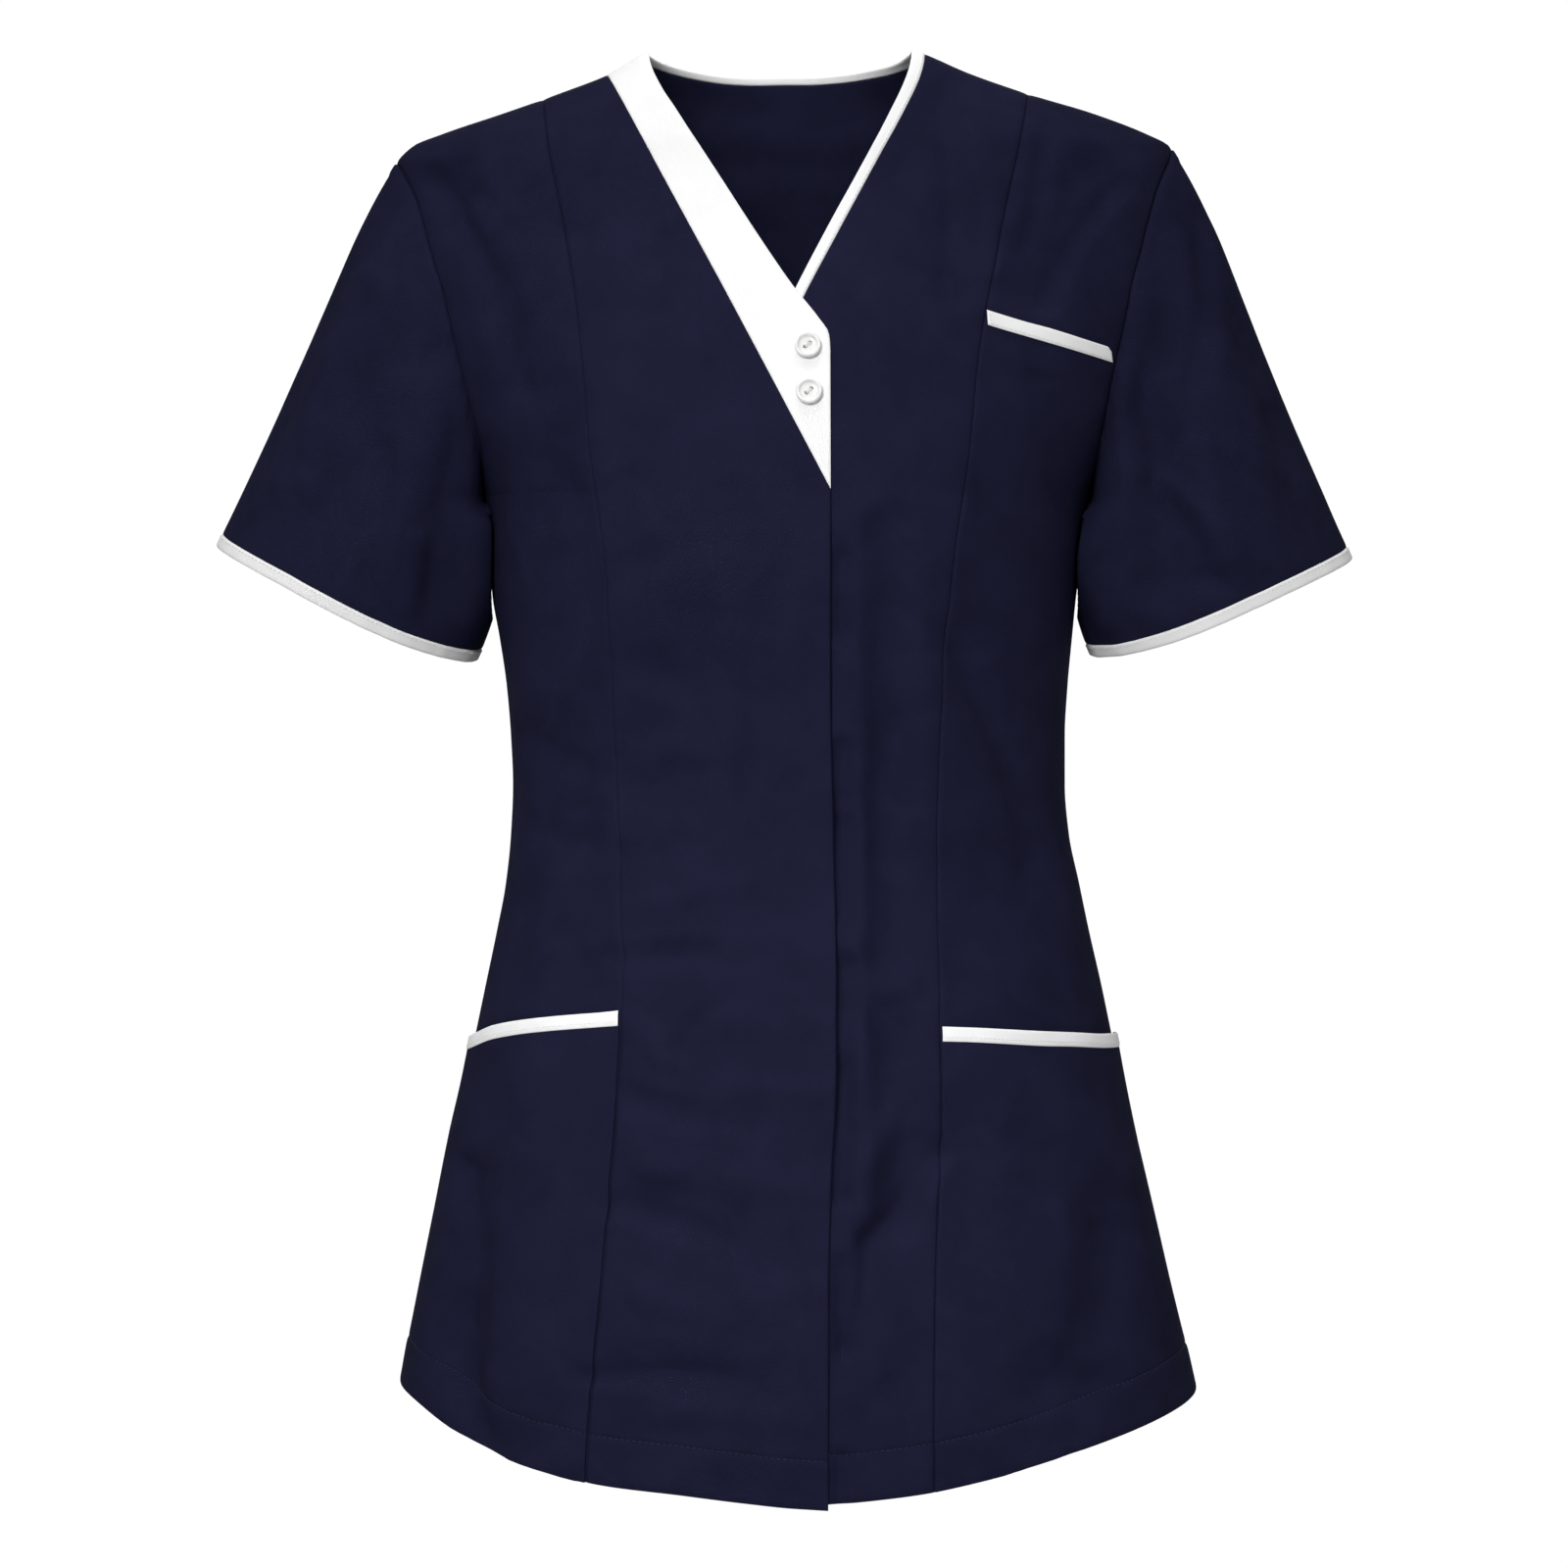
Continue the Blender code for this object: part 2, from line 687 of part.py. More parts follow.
# ---- armholes and sleeves ---------------------------------------------------------------------
# Cuff edge of each sleeve: centre, half of its long axis towards the shoulder's side, half depth,
# how far its front hangs below its back, its droop between its ends, and the outward bow of the
# sleeve head.
SLEEVES = [
    dict(zip("side centre_x centre_z half_x half_z depth tilt droop head_bow".split(), row))
    for row in (
        (-1, 212.8, -262.2, 63.4, 28.2, 50.0, 6.2, 4.0, 2.6),
        (1, 210.2, -264.0, 63.8, 23.8, 50.0, 6.4, 4.0, 3.4),
    )
]
SLEEVE_FULLNESS = 7.0       # how far the front and back of a sleeve round out at mid length
SLEEVE_CLEARANCE = 1.6      # least distance from a sleeve to the side of the torso
SLEEVE_LEAN = 10.0          # how far the lower front of a sleeve leans against the torso
SLEEVE_LEAN_PLACE = 0.82    # where round the sleeve: 0 top, 1 underside
CUFF_BINDING = 6.5          # width of the white cuff binding


def armhole_ring(front_patch, back_patch, end):
    """Armhole points from the shoulder down the front and up the back, with body directions."""
    last = len(UPPER_ROWS)
    column, step = (-1, -1) if end == "end" else (0, 1)
    points = front_patch.points[:last, column]
    normals = front_patch.normals[:last, column]
    inside = front_patch.points[:last, column + step] - points
    back_points = back_patch.points[1:last - 1, column][::-1]
    back_normals = back_patch.normals[1:last - 1, column][::-1]
    back_inside = back_patch.points[1:last - 1, column + step][::-1] - back_points
    return (np.concatenate([points, back_points]),
            np.concatenate([normals, back_normals]),
            np.concatenate([inside, back_inside]))


def ring_turns(ring):
    """Angle round the cuff for each armhole point: 0 at the top, pi at the underside."""
    count = len(ring)
    under = len(UPPER_ROWS) - 1
    loop = np.concatenate([ring, ring[:1]])
    lengths = np.concatenate([[0.0], np.cumsum(np.linalg.norm(np.diff(loop, axis=0), axis=1))])
    turns = []
    for i in range(count):
        if i <= under:
            turns.append(math.pi * lengths[i] / lengths[under])
        else:
            rest = (lengths[i] - lengths[under]) / (lengths[-1] - lengths[under])
            turns.append(math.pi + math.pi * rest)
    return turns


def cuff_point(sleeve, turn):
    """Point of a sleeve's lower edge."""
    c = math.cos(turn)
    s = math.sin(turn)
    x = sleeve["centre_x"] + sleeve["half_x"] * c
    z = sleeve["centre_z"] + sleeve["half_z"] * c - sleeve["tilt"] * s
    z -= sleeve["droop"] * s * s * (0.5 - c)
    return np.array([sleeve["side"] * x, -sleeve["depth"] * s, z])


def sleeve_fold_height(sleeve, turn, along):
    """Height of a sleeve's folds."""
    face = FRONT if turn <= math.pi else BACK
    around = turn / math.pi if face == FRONT else 2.0 - turn / math.pi
    height = 0.0
    for fold in SLEEVE_FOLDS:
        if fold["side"] != sleeve["side"] or fold["face"] != face:
            continue
        beyond = max(fold["start"] - along, along - fold["end"], 0.0)
        fade = 1.0 - smooth_step(beyond / 0.2)
        height += fold["height"] * fade * bump(abs(around - fold["round"]), fold["half_width"])
    return height * smooth_step(along / 0.25)


def clear_of_torso(point, side):
    """Move a sleeve point out until it is clear of the torso beside it."""
    x, y, z = point
    if z > ARMPIT_Z + 4.0:
        return point
    depth = FORM_CURVES["back" if y > 0.0 else "front"](z)
    share = min(abs(y) / depth, 1.0)
    reach = half_width(side, z) * (1.0 - share ** SQUARENESS) ** (1.0 / SQUARENESS)
    fade = smooth_step((ARMPIT_Z + 4.0 - z) / 20.0)
    least = reach + SLEEVE_CLEARANCE * fade
    return np.array([side * max(abs(x), least), y, z])


def sleeve_point(sleeve, ring, turns, i, along):
    """Point of the plain sleeve tube."""
    side = sleeve["side"]
    turn = turns[i]
    start = ring[i]
    end = cuff_point(sleeve, turn)
    mid = 4.0 * along * (1.0 - along)
    early = 12.2 * along * (1.0 - along) ** 4
    top = max(math.cos(turn), 0.0) ** 2
    under = max(-math.cos(turn), 0.0) ** 2
    bow = np.array([side * 0.9, 0.0, 0.44]) * sleeve["head_bow"] * early * top
    round_out = np.array([0.0, -math.sin(turn), 0.0]) * SLEEVE_FULLNESS * mid
    point = start * (1.0 - along) + end * along + bow + round_out
    front_under = bump(abs(turn / math.pi - SLEEVE_LEAN_PLACE), 0.3)
    front_under *= smooth_step((ARMPIT_Z - point[2]) / 15.0)
    lean_in = mid * (4.0 * under + SLEEVE_LEAN * front_under)
    return point - np.array([side * lean_in, 0.0, 0.0])


def sleeve_patch(sleeve, ring):
    """Rows round a sleeve from its armhole to its cuff."""
    turns = ring_turns(ring)
    count = len(ring)
    tube = np.array([[sleeve_point(sleeve, ring, turns, i, t) for i in range(count)]
                     for t in SLEEVE_ROWS])
    normals = tube_normals(tube)
    for k, along in enumerate(SLEEVE_ROWS):
        for i in range(count):
            height = sleeve_fold_height(sleeve, turns[i], along)
            moved = tube[k, i] + normals[k, i] * height
            tube[k, i] = moved if k == 0 else clear_of_torso(moved, sleeve["side"])
    patch = Patch([[(point, point) for point in row] for row in tube])
    patch.normals = tube_normals(tube)
    return patch


def tube_normals(tube):
    """Outward directions of a tube of rings."""
    around = np.roll(tube, -1, axis=1) - np.roll(tube, 1, axis=1)
    along = np.gradient(tube, axis=0)
    normals = np.cross(around, along)
    normals /= np.linalg.norm(normals, axis=-1, keepdims=True)
    outward = tube - tube.mean(axis=1, keepdims=True)
    if float((normals * outward).sum()) < 0.0:
        normals = -normals
    return normals


def mitre(body_normals, body_inside, sleeve_normals):
    """Directions of the two rims at an armhole seam, so that they meet and do not cross."""
    body_rims = []
    sleeve_rims = []
    for body, inside, sleeve in zip(body_normals, body_inside, sleeve_normals):
        inside = inside / np.linalg.norm(inside)
        hollow = smooth_step(float(inside @ sleeve) / 0.35)
        meet = -(body + sleeve) / max(1.0 + float(body @ sleeve), 0.6)
        body_rim = meet * (1.0 - hollow) - body * hollow
        sleeve_rim = meet * (1.0 - hollow) - sleeve * hollow
        body_rims.append(body_rim)
        sleeve_rims.append(sleeve_rim)
    return np.array(body_rims), np.array(sleeve_rims)


def armhole_clearance(ring, body_inside, sleeve_inside, sleeve_rims):
    """Steps square to an armhole seam that give the sleeve's rim its full gap everywhere.

    Pulling both edges back along their own cloth opens little where the two run the same way,
    as they do at the armpit, so what is missing from the gap is added across the seam.
    """
    around = np.roll(ring, -1, axis=0) - np.roll(ring, 1, axis=0)
    across = np.cross(around, sleeve_rims)
    across /= np.linalg.norm(across, axis=1, keepdims=True)
    apart = (sleeve_inside / np.linalg.norm(sleeve_inside, axis=1, keepdims=True)
             - body_inside / np.linalg.norm(body_inside, axis=1, keepdims=True))
    opened = (apart * across).sum(axis=1, keepdims=True) * SEAM_GAP / 2.0
    across *= np.where(opened < 0.0, -1.0, 1.0)
    return across * np.clip(SEAM_GAP - np.abs(opened), 0.0, SEAM_GAP)


def split_ring(vectors):
    """Armhole vectors of the front rows and of the back rows, both from the shoulder down."""
    last = len(UPPER_ROWS)
    front = vectors[:last]
    back = np.concatenate([vectors[:1], vectors[last:][::-1], vectors[last - 1:last]])
    return front, back


def rims_below(vectors, patch, column):
    """Extend the armhole rims down the side seam with the cloth's own directions."""
    rims = -patch.normals[:, column].copy()
    rims[:len(vectors)] = vectors
    return rims


def ring_inward(points):
    """Directions from a ring of points along the tube, towards its first row."""
    steps = points[-1] - points[-2]
    return steps / np.linalg.norm(steps, axis=-1, keepdims=True)


# ---- pieces on the panels ---------------------------------------------------------------------
def between(start, end):
    """Numbers of the panel's own lines between two places, with the places themselves."""
    margin = 0.2
    inner = range(math.floor(start + margin) + 1, math.ceil(end - margin))
    return [start, *inner, end]


def mouth_row(panel_patch, column, level):
    """Row number where a column of the panel crosses a line given by its level at each x."""
    count = panel_patch.points.shape[0]
    spots = [panel_patch.at(i, column)[0] for i in range(count)]
    above = [level(spot[0]) - spot[2] for spot in spots]
    return float(np.interp(0.0, above, np.arange(count)))


def pocket_patch(panel_patch, places, top_level, bottom_row):
    """Patch from a mouth line down to a row, on the panel's own rows and columns."""
    mouth = [mouth_row(panel_patch, place, top_level) for place in places]
    first = int(math.ceil(max(mouth) + 0.35))
    rows = [[panel_patch.at(row, place) for row, place in zip(mouth, places)]]
    for i in range(first, bottom_row + 1):
        rows.append([panel_patch.at(i, place) for place in places])
    return Patch(rows)


def trim_patch(panel_patch, places, upper_level, lower_level):
    """Trim strip between two lines of a panel."""
    upper = [mouth_row(panel_patch, place, upper_level) for place in places]
    lower = [mouth_row(panel_patch, place, lower_level) for place in places]
    rows = []
    for share in (0.0, 0.5, 1.0):
        rows.append([panel_patch.at(_mix(upper[j], lower[j], share), place)
                     for j, place in enumerate(places)])
    return Patch(rows)


CHEST_MOUTH = ((96.0, -130.0), (156.0, -146.3))
CHEST_WELT = 7.0            # height of the white welt of the chest pocket
CHEST_WELT_START = 0.03     # the welt starts at the princess seam, in columns of the side panel
CHEST_BAG_ROWS = 4          # rows of the side panel that the pocket bag behind it reaches down


# ---- buttons ----------------------------------------------------------------------------------
BUTTONS = ((9.8, -149.0), (10.4, -171.0))
BUTTON_RADIUS = 6.4
BUTTON_HEIGHT = 3.0
BUTTON_HOLE_RADIUS = 0.8
BUTTON_HOLE_SPACING = 3.0
BUTTON_HOLE_TILT = math.radians(38.0)
BUTTON_SIDES = 28
# Turned profile of a button: distance from its axis and height, from the back to the dished face.
BUTTON_PROFILE = ((0.0, 0.0), (4.6, 0.0), (5.9, 0.6), (6.4, 1.5), (6.2, 2.4), (5.5, 3.0),
                  (4.7, 2.9), (4.0, 2.2), (2.4, 1.9), (0.0, 1.8))


def turned_mesh(name, profile, sides):
    """Closed body of revolution round +Z."""
    vertices = []
    rings = []
    for radius, height in profile:
        if radius == 0.0:
            rings.append([len(vertices)])
            vertices.append((0.0, 0.0, height * MM))
            continue
        ring = []
        for i in range(sides):
            turn = 2.0 * math.pi * i / sides
            ring.append(len(vertices))
            vertices.append((radius * math.cos(turn) * MM, radius * math.sin(turn) * MM, height * MM))
        rings.append(ring)
    faces = []
    for low, high in zip(rings, rings[1:]):
        for i in range(sides):
            j = (i + 1) % sides
            if len(low) == 1:
                faces.append((low[0], high[j], high[i]))
            elif len(high) == 1:
                faces.append((low[i], low[j], high[0]))
            else:
                faces.append((low[i], low[j], high[j], high[i]))
    mesh = bpy.data.meshes.new(name)
    mesh.from_pydata(vertices, [], faces)
    mesh.update()
    return mesh


def add_button(name, seat, normal, material):
    """Two-hole button that lies on the band with its axis along the cloth's direction."""
    mesh = turned_mesh(name, BUTTON_PROFILE, BUTTON_SIDES)
    mesh.materials.append(material)
    mesh.shade_smooth()
    mesh.set_sharp_from_angle(angle=math.radians(40.0))
    button = bpy.data.objects.new(name, mesh)
    bpy.context.scene.collection.objects.link(button)
    outward = normal / np.linalg.norm(normal)
    across = np.cross(np.array([0.0, 0.0, 1.0]), outward)
    across /= np.linalg.norm(across)
    upward = np.cross(outward, across)
    frame = np.eye(4)
    frame[:3, 0] = across
    frame[:3, 1] = upward
    frame[:3, 2] = outward
    frame[:3, 3] = seat * MM
    button.matrix_world = Matrix(frame.tolist())
    hole_profile = ((0.0, -1.0), (BUTTON_HOLE_RADIUS, -1.0), (BUTTON_HOLE_RADIUS, 5.0), (0.0, 5.0))
    for k, sign in enumerate((-1.0, 1.0)):
        hole = bpy.data.objects.new(f"{name}_hole_{k}", turned_mesh(f"{name}_hole", hole_profile, 10))
        offset = sign * BUTTON_HOLE_SPACING / 2.0 * MM
        hole.parent = button
        hole.location = (offset * math.cos(BUTTON_HOLE_TILT), offset * math.sin(BUTTON_HOLE_TILT), 0)
        hole.hide_render = True
        hole.display_type = "WIRE"
        bpy.context.scene.collection.objects.link(hole)
        cut = button.modifiers.new(f"hole_{k}", "BOOLEAN")
        cut.operation = "DIFFERENCE"
        cut.solver = "EXACT"
        cut.object = hole
    return button


# ---- the garment ------------------------------------------------------------------------------
def build():
    """Make every piece of the top."""
    for old in list(bpy.data.objects):
        bpy.data.objects.remove(old)
    navy = make_material("navy_twill", (0.0125, 0.0130, 0.0360), 0.80)
    white = make_material("white_twill", (0.86, 0.86, 0.87), 0.72)
    plastic = make_material("white_button", (0.84, 0.84, 0.85), 0.30)

    right_tip = -half_width(-1, RIGHT_TIP_Z)
    left_tip = half_width(1, LEFT_TIP_Z)
    right_princess_top = princess_top(-1)
    left_princess_top = princess_top(1)

    front_right = panel(FRONT, princess_x(-1), right_front_edge(),
                        shoulder_top(right_princess_top, BAND_TOP_X, FRONT_COLUMNS), "right")
    side_right = panel(FRONT, side_x(-1, FRONT), princess_x(-1),
                       shoulder_top(right_tip, right_princess_top, SIDE_COLUMNS), "right")
    front_left = panel(FRONT, left_front_edge(), princess_x(1),
                       shoulder_top(LEFT_NECK["x"][0], left_princess_top, FRONT_COLUMNS), "left")
    side_left = panel(FRONT, princess_x(1), side_x(1, FRONT),
                      shoulder_top(left_princess_top, left_tip, SIDE_COLUMNS), "left")
    back = panel(BACK, princess_x(-1), princess_x(1),
                 back_top(right_princess_top, left_princess_top, BACK_COLUMNS), "back")
    back_right = panel(BACK, side_x(-1, BACK), princess_x(-1),
                       shoulder_top(right_tip, right_princess_top, SIDE_COLUMNS), "back")
    back_left = panel(BACK, princess_x(1), side_x(1, BACK),
                      shoulder_top(left_princess_top, left_tip, SIDE_COLUMNS), "back")

    sleeves = {}
    rims = {}
    for sleeve, front, behind, end in ((SLEEVES[0], side_right, back_right, "start"),
                                       (SLEEVES[1], side_left, back_left, "end")):
        ring, body_normals, body_inside = armhole_ring(front, behind, end)
        patch = sleeve_patch(sleeve, ring)
        body_rims, sleeve_rims = mitre(body_normals, body_inside, patch.normals[0])
        clearance = armhole_clearance(ring, body_inside, patch.points[1] - patch.points[0],
                                      sleeve_rims)
        sleeves[sleeve["side"]] = (patch, sleeve_rims, clearance)
        rims[sleeve["side"]] = split_ring(body_rims)

    sides = ("top", "start", "end")
    outer, inner = layer_of(front_right, sides)
    add_solid("front_right", outer, inner, navy)
    outer, inner = layer_of(front_left, sides)
    add_solid("front_left", outer, inner, navy)
    outer, inner = layer_of(back, sides)
    add_solid("back", outer, inner, navy)
    for name, patch, side, face_number in (("side_front_right", side_right, -1, 0),
                                           ("side_front_left", side_left, 1, 0),
                                           ("side_back_right", back_right, -1, 1),
                                           ("side_back_left", back_left, 1, 1)):
        end, column = ("start", 0) if side < 0 else ("end", -1)
        edge_rims = {end: rims_below(rims[side][face_number], patch, column)}
        outer, inner = layer_of(patch, sides, rims=edge_rims)
        add_solid(name, outer, inner, navy)

    for side, name in ((-1, "right"), (1, "left")):
        patch, sleeve_rims, clearance = sleeves[side]
        build_sleeve(name, patch, sleeve_rims, clearance, navy, white)

    band = build_neck(white)
    build_hip_pocket("right", side_right, navy, white)
    build_hip_pocket("left", side_left, navy, white)
    build_chest_pocket(side_left, navy, white)
    for number, (x, z) in enumerate(BUTTONS, start=1):
        point, normal = band.at(*band.locate(x, z))
        seat = point + normal * (BINDING_PROUD + SEAM_GAP)
        add_button(f"button_{number}", seat, normal, plastic)


def princess_top(side):
    """Distance from the centre line at which a princess seam meets the shoulder seam."""
    x = side * 118.0
    for _ in range(6):
        x = princess_x(side)(shoulder_z(x))
    return x


def build_sleeve(name, patch, sleeve_rims, clearance, navy, white):
    """One sleeve and the white binding round its cuff."""
    outer = patch.points.copy()
    thickness = patch.normals * -WALL
    thickness[0] = sleeve_rims * WALL
    inner = outer + thickness
    outer = pull_back(outer, ("top", "bottom"), SEAM_GAP / 2.0)
    inner = pull_back(inner, ("top", "bottom"), SEAM_GAP / 2.0)
    outer[0] += clearance
    inner[0] += clearance
    add_solid(f"sleeve_{name}", outer, inner, navy, closed=True)

    onward = ring_inward(patch.points)
    normals = patch.normals[-1]
    rows = []
    for share in (0.0, 0.5, 1.0):
        step = SEAM_GAP / 2.0 + (CUFF_BINDING - SEAM_GAP / 2.0) * share
        rows.append(patch.points[-1] + onward * step + normals * BINDING_PROUD)
    outer = np.array(rows)
    inner = outer - normals * DOUBLE
    add_solid(f"cuff_binding_{name}", outer, inner, white, closed=True)


# Free edge of the neck band: down the neck, round the corner above the buttons, then straight.
BAND_INNER = ((-68.0, 1.5), (-66.3, -6.5), (-60.9, -18.7), (-53.4, -30.6), (-42.3, -48.8),
              (-27.8, -72.3), (-13.2, -95.4), (2.8, -119.3), (15.6, -135.8), (20.0, -143.0),
              (20.6, -151.0), (20.6, -216.9))
BAND_SEAM_SHARE = 0.992     # the band's seam ends this far down the edge, so its tip is blunt
# Free edge of the left front's binding.
BINDING_INNER = ((61.0, 2.3), (60.4, -4.0), (59.0, -10.4), (55.9, -18.7), (50.2, -30.8),
                 (44.3, -42.8), (31.9, -66.2), (19.4, -89.6), (4.7, -118.4), (UNDERLAP_X, -153.0))
BACK_NECK_INNER = (-68.0, 61.0, 7.0)


def neck_spot(face, layer):
    """Cloth point seen at (x, z) on one face, no higher than the shoulder seam."""
    def spot(x, z):
        level = min(z, shoulder_z(x))
        return torso_spot(angle_at(x, level, face), level, layer)
    return spot


def build_neck(white):
    """Wide band of the right neck edge, and the narrow bindings of the left and back edges."""
    sewn_edge = right_front_edge()
    top = shoulder_z(BAND_TOP_X)

    def sewn_line(share):
        level = _mix(top, ARMPIT_Z, share * BAND_SEAM_SHARE)
        return sewn_edge(level), level

    band = line_patch(neck_spot(FRONT, "right"), sewn_line, path(BAND_INNER), UPPER_ROWS, 4,
                      (UPPER_ROWS[0],))
    outer, inner = layer_of(band, ("top", "start"), lift=BINDING_PROUD, wall=DOUBLE)
    add_solid("neck_band", outer, inner, white)

    neck_edge = left_front_edge()
    rows = UPPER_ROWS[:LEFT_NECK_LAST_ROW + 1]
    free_line = path(BINDING_INNER)

    def neck_line(share):
        level = _mix(LEFT_NECK["z"][0], ARMPIT_Z, share)
        return neck_edge(level), level

    binding = line_patch(neck_spot(FRONT, "left"), lambda share: free_line(share / rows[-1]),
                         neck_line, rows, 2, (rows[0],))
    outer, inner = layer_of(binding, ("top", "end"), lift=LEFT_BINDING_PROUD, wall=DOUBLE)
    add_solid("neck_binding_left", outer, inner, white)

    start, end, drop = BACK_NECK_INNER
    binding = line_patch(neck_spot(BACK, "back"),
                         lambda share: neck_curve(start, end, drop, share),
                         lambda share: neck_curve(BACK_NECK_RIGHT, BACK_NECK_LEFT,
                                                  BACK_NECK_DROP, share),
                         BACK_NECK_SHARES, 2, (BACK_NECK_SHARES[0], BACK_NECK_SHARES[-1]))
    outer, inner = layer_of(binding, ("top", "bottom", "end"), lift=BINDING_PROUD, wall=DOUBLE)
    add_solid("neck_binding_back", outer, inner, white)
    return band


def build_hip_pocket(name, panel_patch, navy, white):
    """Hip pocket between the princess seam and the side seam, caught in the hem below."""
    mouth_row_number = len(UPPER_ROWS) - 1 + BODICE_ROWS
    pocket = panel_patch.rows(mouth_row_number + 1, None)
    outer, inner = layer_of(pocket, ("top", "start", "end"), lift=SEAM_GAP + WALL)
    add_solid(f"hip_pocket_{name}", outer, inner, navy)
    trim = panel_patch.rows(mouth_row_number, mouth_row_number + 2)
    outer, inner = layer_of(trim, ("bottom", "start", "end"), lift=SEAM_GAP + DOUBLE, wall=DOUBLE)
    add_solid(f"hip_trim_{name}", outer, inner, white)


def build_chest_pocket(panel_patch, navy, white):
    """Slanted white welt on the left chest, and the bag behind the panel."""
    (x0, z0), (x1, z1) = CHEST_MOUTH
    slope = (z1 - z0) / (x1 - x0)

    def upper(x):
        return z0 + (x - x0) * slope

    def lower(x):
        return upper(x) - CHEST_WELT

    end_row, end_place = panel_patch.locate(x1, z1)
    places = between(CHEST_WELT_START, end_place)
    welt = trim_patch(panel_patch, places, upper, lower)
    outer, inner = layer_of(welt, (), lift=WELT_GAP + DOUBLE, wall=DOUBLE)
    add_solid("chest_welt", outer, inner, white)

    bottom_row = math.ceil(end_row) + CHEST_BAG_ROWS
    bag = pocket_patch(panel_patch, between(0.2, end_place - 0.1), lower, bottom_row)
    outer, inner = layer_of(bag, (), lift=-WALL - WELT_GAP)
    add_solid("chest_pocket_bag", outer, inner, navy)


build()
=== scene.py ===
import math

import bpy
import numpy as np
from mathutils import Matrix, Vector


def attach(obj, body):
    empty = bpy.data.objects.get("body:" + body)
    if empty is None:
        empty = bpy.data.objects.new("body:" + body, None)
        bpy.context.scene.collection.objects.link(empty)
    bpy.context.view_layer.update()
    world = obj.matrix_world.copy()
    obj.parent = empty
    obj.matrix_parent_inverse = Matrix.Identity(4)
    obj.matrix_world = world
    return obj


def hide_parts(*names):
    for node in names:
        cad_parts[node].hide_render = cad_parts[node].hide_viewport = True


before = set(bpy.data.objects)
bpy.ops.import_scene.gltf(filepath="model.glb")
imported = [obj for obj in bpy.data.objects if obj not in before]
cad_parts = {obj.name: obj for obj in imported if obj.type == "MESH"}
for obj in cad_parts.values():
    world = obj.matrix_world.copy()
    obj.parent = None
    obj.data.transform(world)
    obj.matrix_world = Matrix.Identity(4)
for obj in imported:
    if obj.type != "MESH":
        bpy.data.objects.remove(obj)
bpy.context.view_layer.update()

# Looks of a short-sleeved V-neck tunic top: fine cloth shells on the same form as the solids,
# with their creases, seams, hem, stitching and buttons, and the light and camera of the photo.
# Lengths are in millimetres until a mesh is made. +X is the wearer's left and -Y the front.

MM = 0.001
FRONT, BACK = -1, 1
ALL = slice(None)

# ---- cloth ----
CLOTH = 0.9             # thickness of one layer of navy cloth
FOLDED = 1.5            # folded white cloth, and the folded edge of the right front
HEM_FOLDED = 1.5        # the hem below its stitches
EDGE_ROLL = 1.3         # distance over which an edge rounds off
SEAM_GROOVE = (1.9, 6.0)    # the same for the sharp and the soft part of the groove along a seam
SEAM_MEET = 0.12        # how far each edge runs past its seam line, inside the groove
HEM_DEPTH = 23.0        # stitch line above the hem's edge
CUFF_FOLDED = 1.7       # white binding of the cuffs
POCKET_HEM = 1.05       # hip pocket below the hem's stitches
TRIM_CLOTH = 0.85       # white trim of the hip pockets
SEAM_SUNK = 0.52        # depth of each part of the groove
LAP_LIFT = 1.9          # right front above the left, and where it starts and ends to rise
LAP_FROM_X = -50.0
LAP_FULL_X = -25.0
PROUD = 0.35            # neck band and bindings above the form
POCKET_LIFT = 1.25      # hip pocket above the panel that it is sewn to
TRIM_LIFT = 1.75
POCKET_TOP = 3          # rows from a hip pocket's mouth to its own edge, under the trim
TRIM_STEPS = 6          # rows from its mouth to below its trim

SQUARENESS = 2.3        # power of the superellipse that each level of the form is
ARMPIT_Z = -217.0
RIGHT_TIP_Z, LEFT_TIP_Z = -53.0, -46.0      # tips of the shoulders
HIP_FORM_Z, HEM_FORM_Z = -475.0, -680.0     # levels at which mouths and hem are first looked up
HIP_TRIM = 7.0
UNDERLAP_X = -12.0      # edge of the left front below the neck, hidden under the right front
NECK_END_Z = -167.0     # where the left neck edge reaches it
BAND_TOP_X = -88.0      # outer edge of the neck band at the shoulder
NECK_RIGHT_X, NECK_LEFT_X = -72.0, 67.4     # ends of the neck at the shoulder seams
BACK_NECK_DROP, BACK_NECK_ROUND = 9.1, 2.6
NECK_FROM, NECK_TO = 3.0 / 16.0, 13.0 / 16.0    # part of the back's width below the neck
PRINCESS_TOP_X = 118.0      # first guess at the top of the princess seams
EDGE_STEPS = (0.0, 0.3, 0.7, 1.2, 2.0)      # first lines of a grid beside an edge
RIDGE_SHARE = 0.06      # closer rows near the shoulder seam, where the form turns over
RIDGE_ROWS = 16


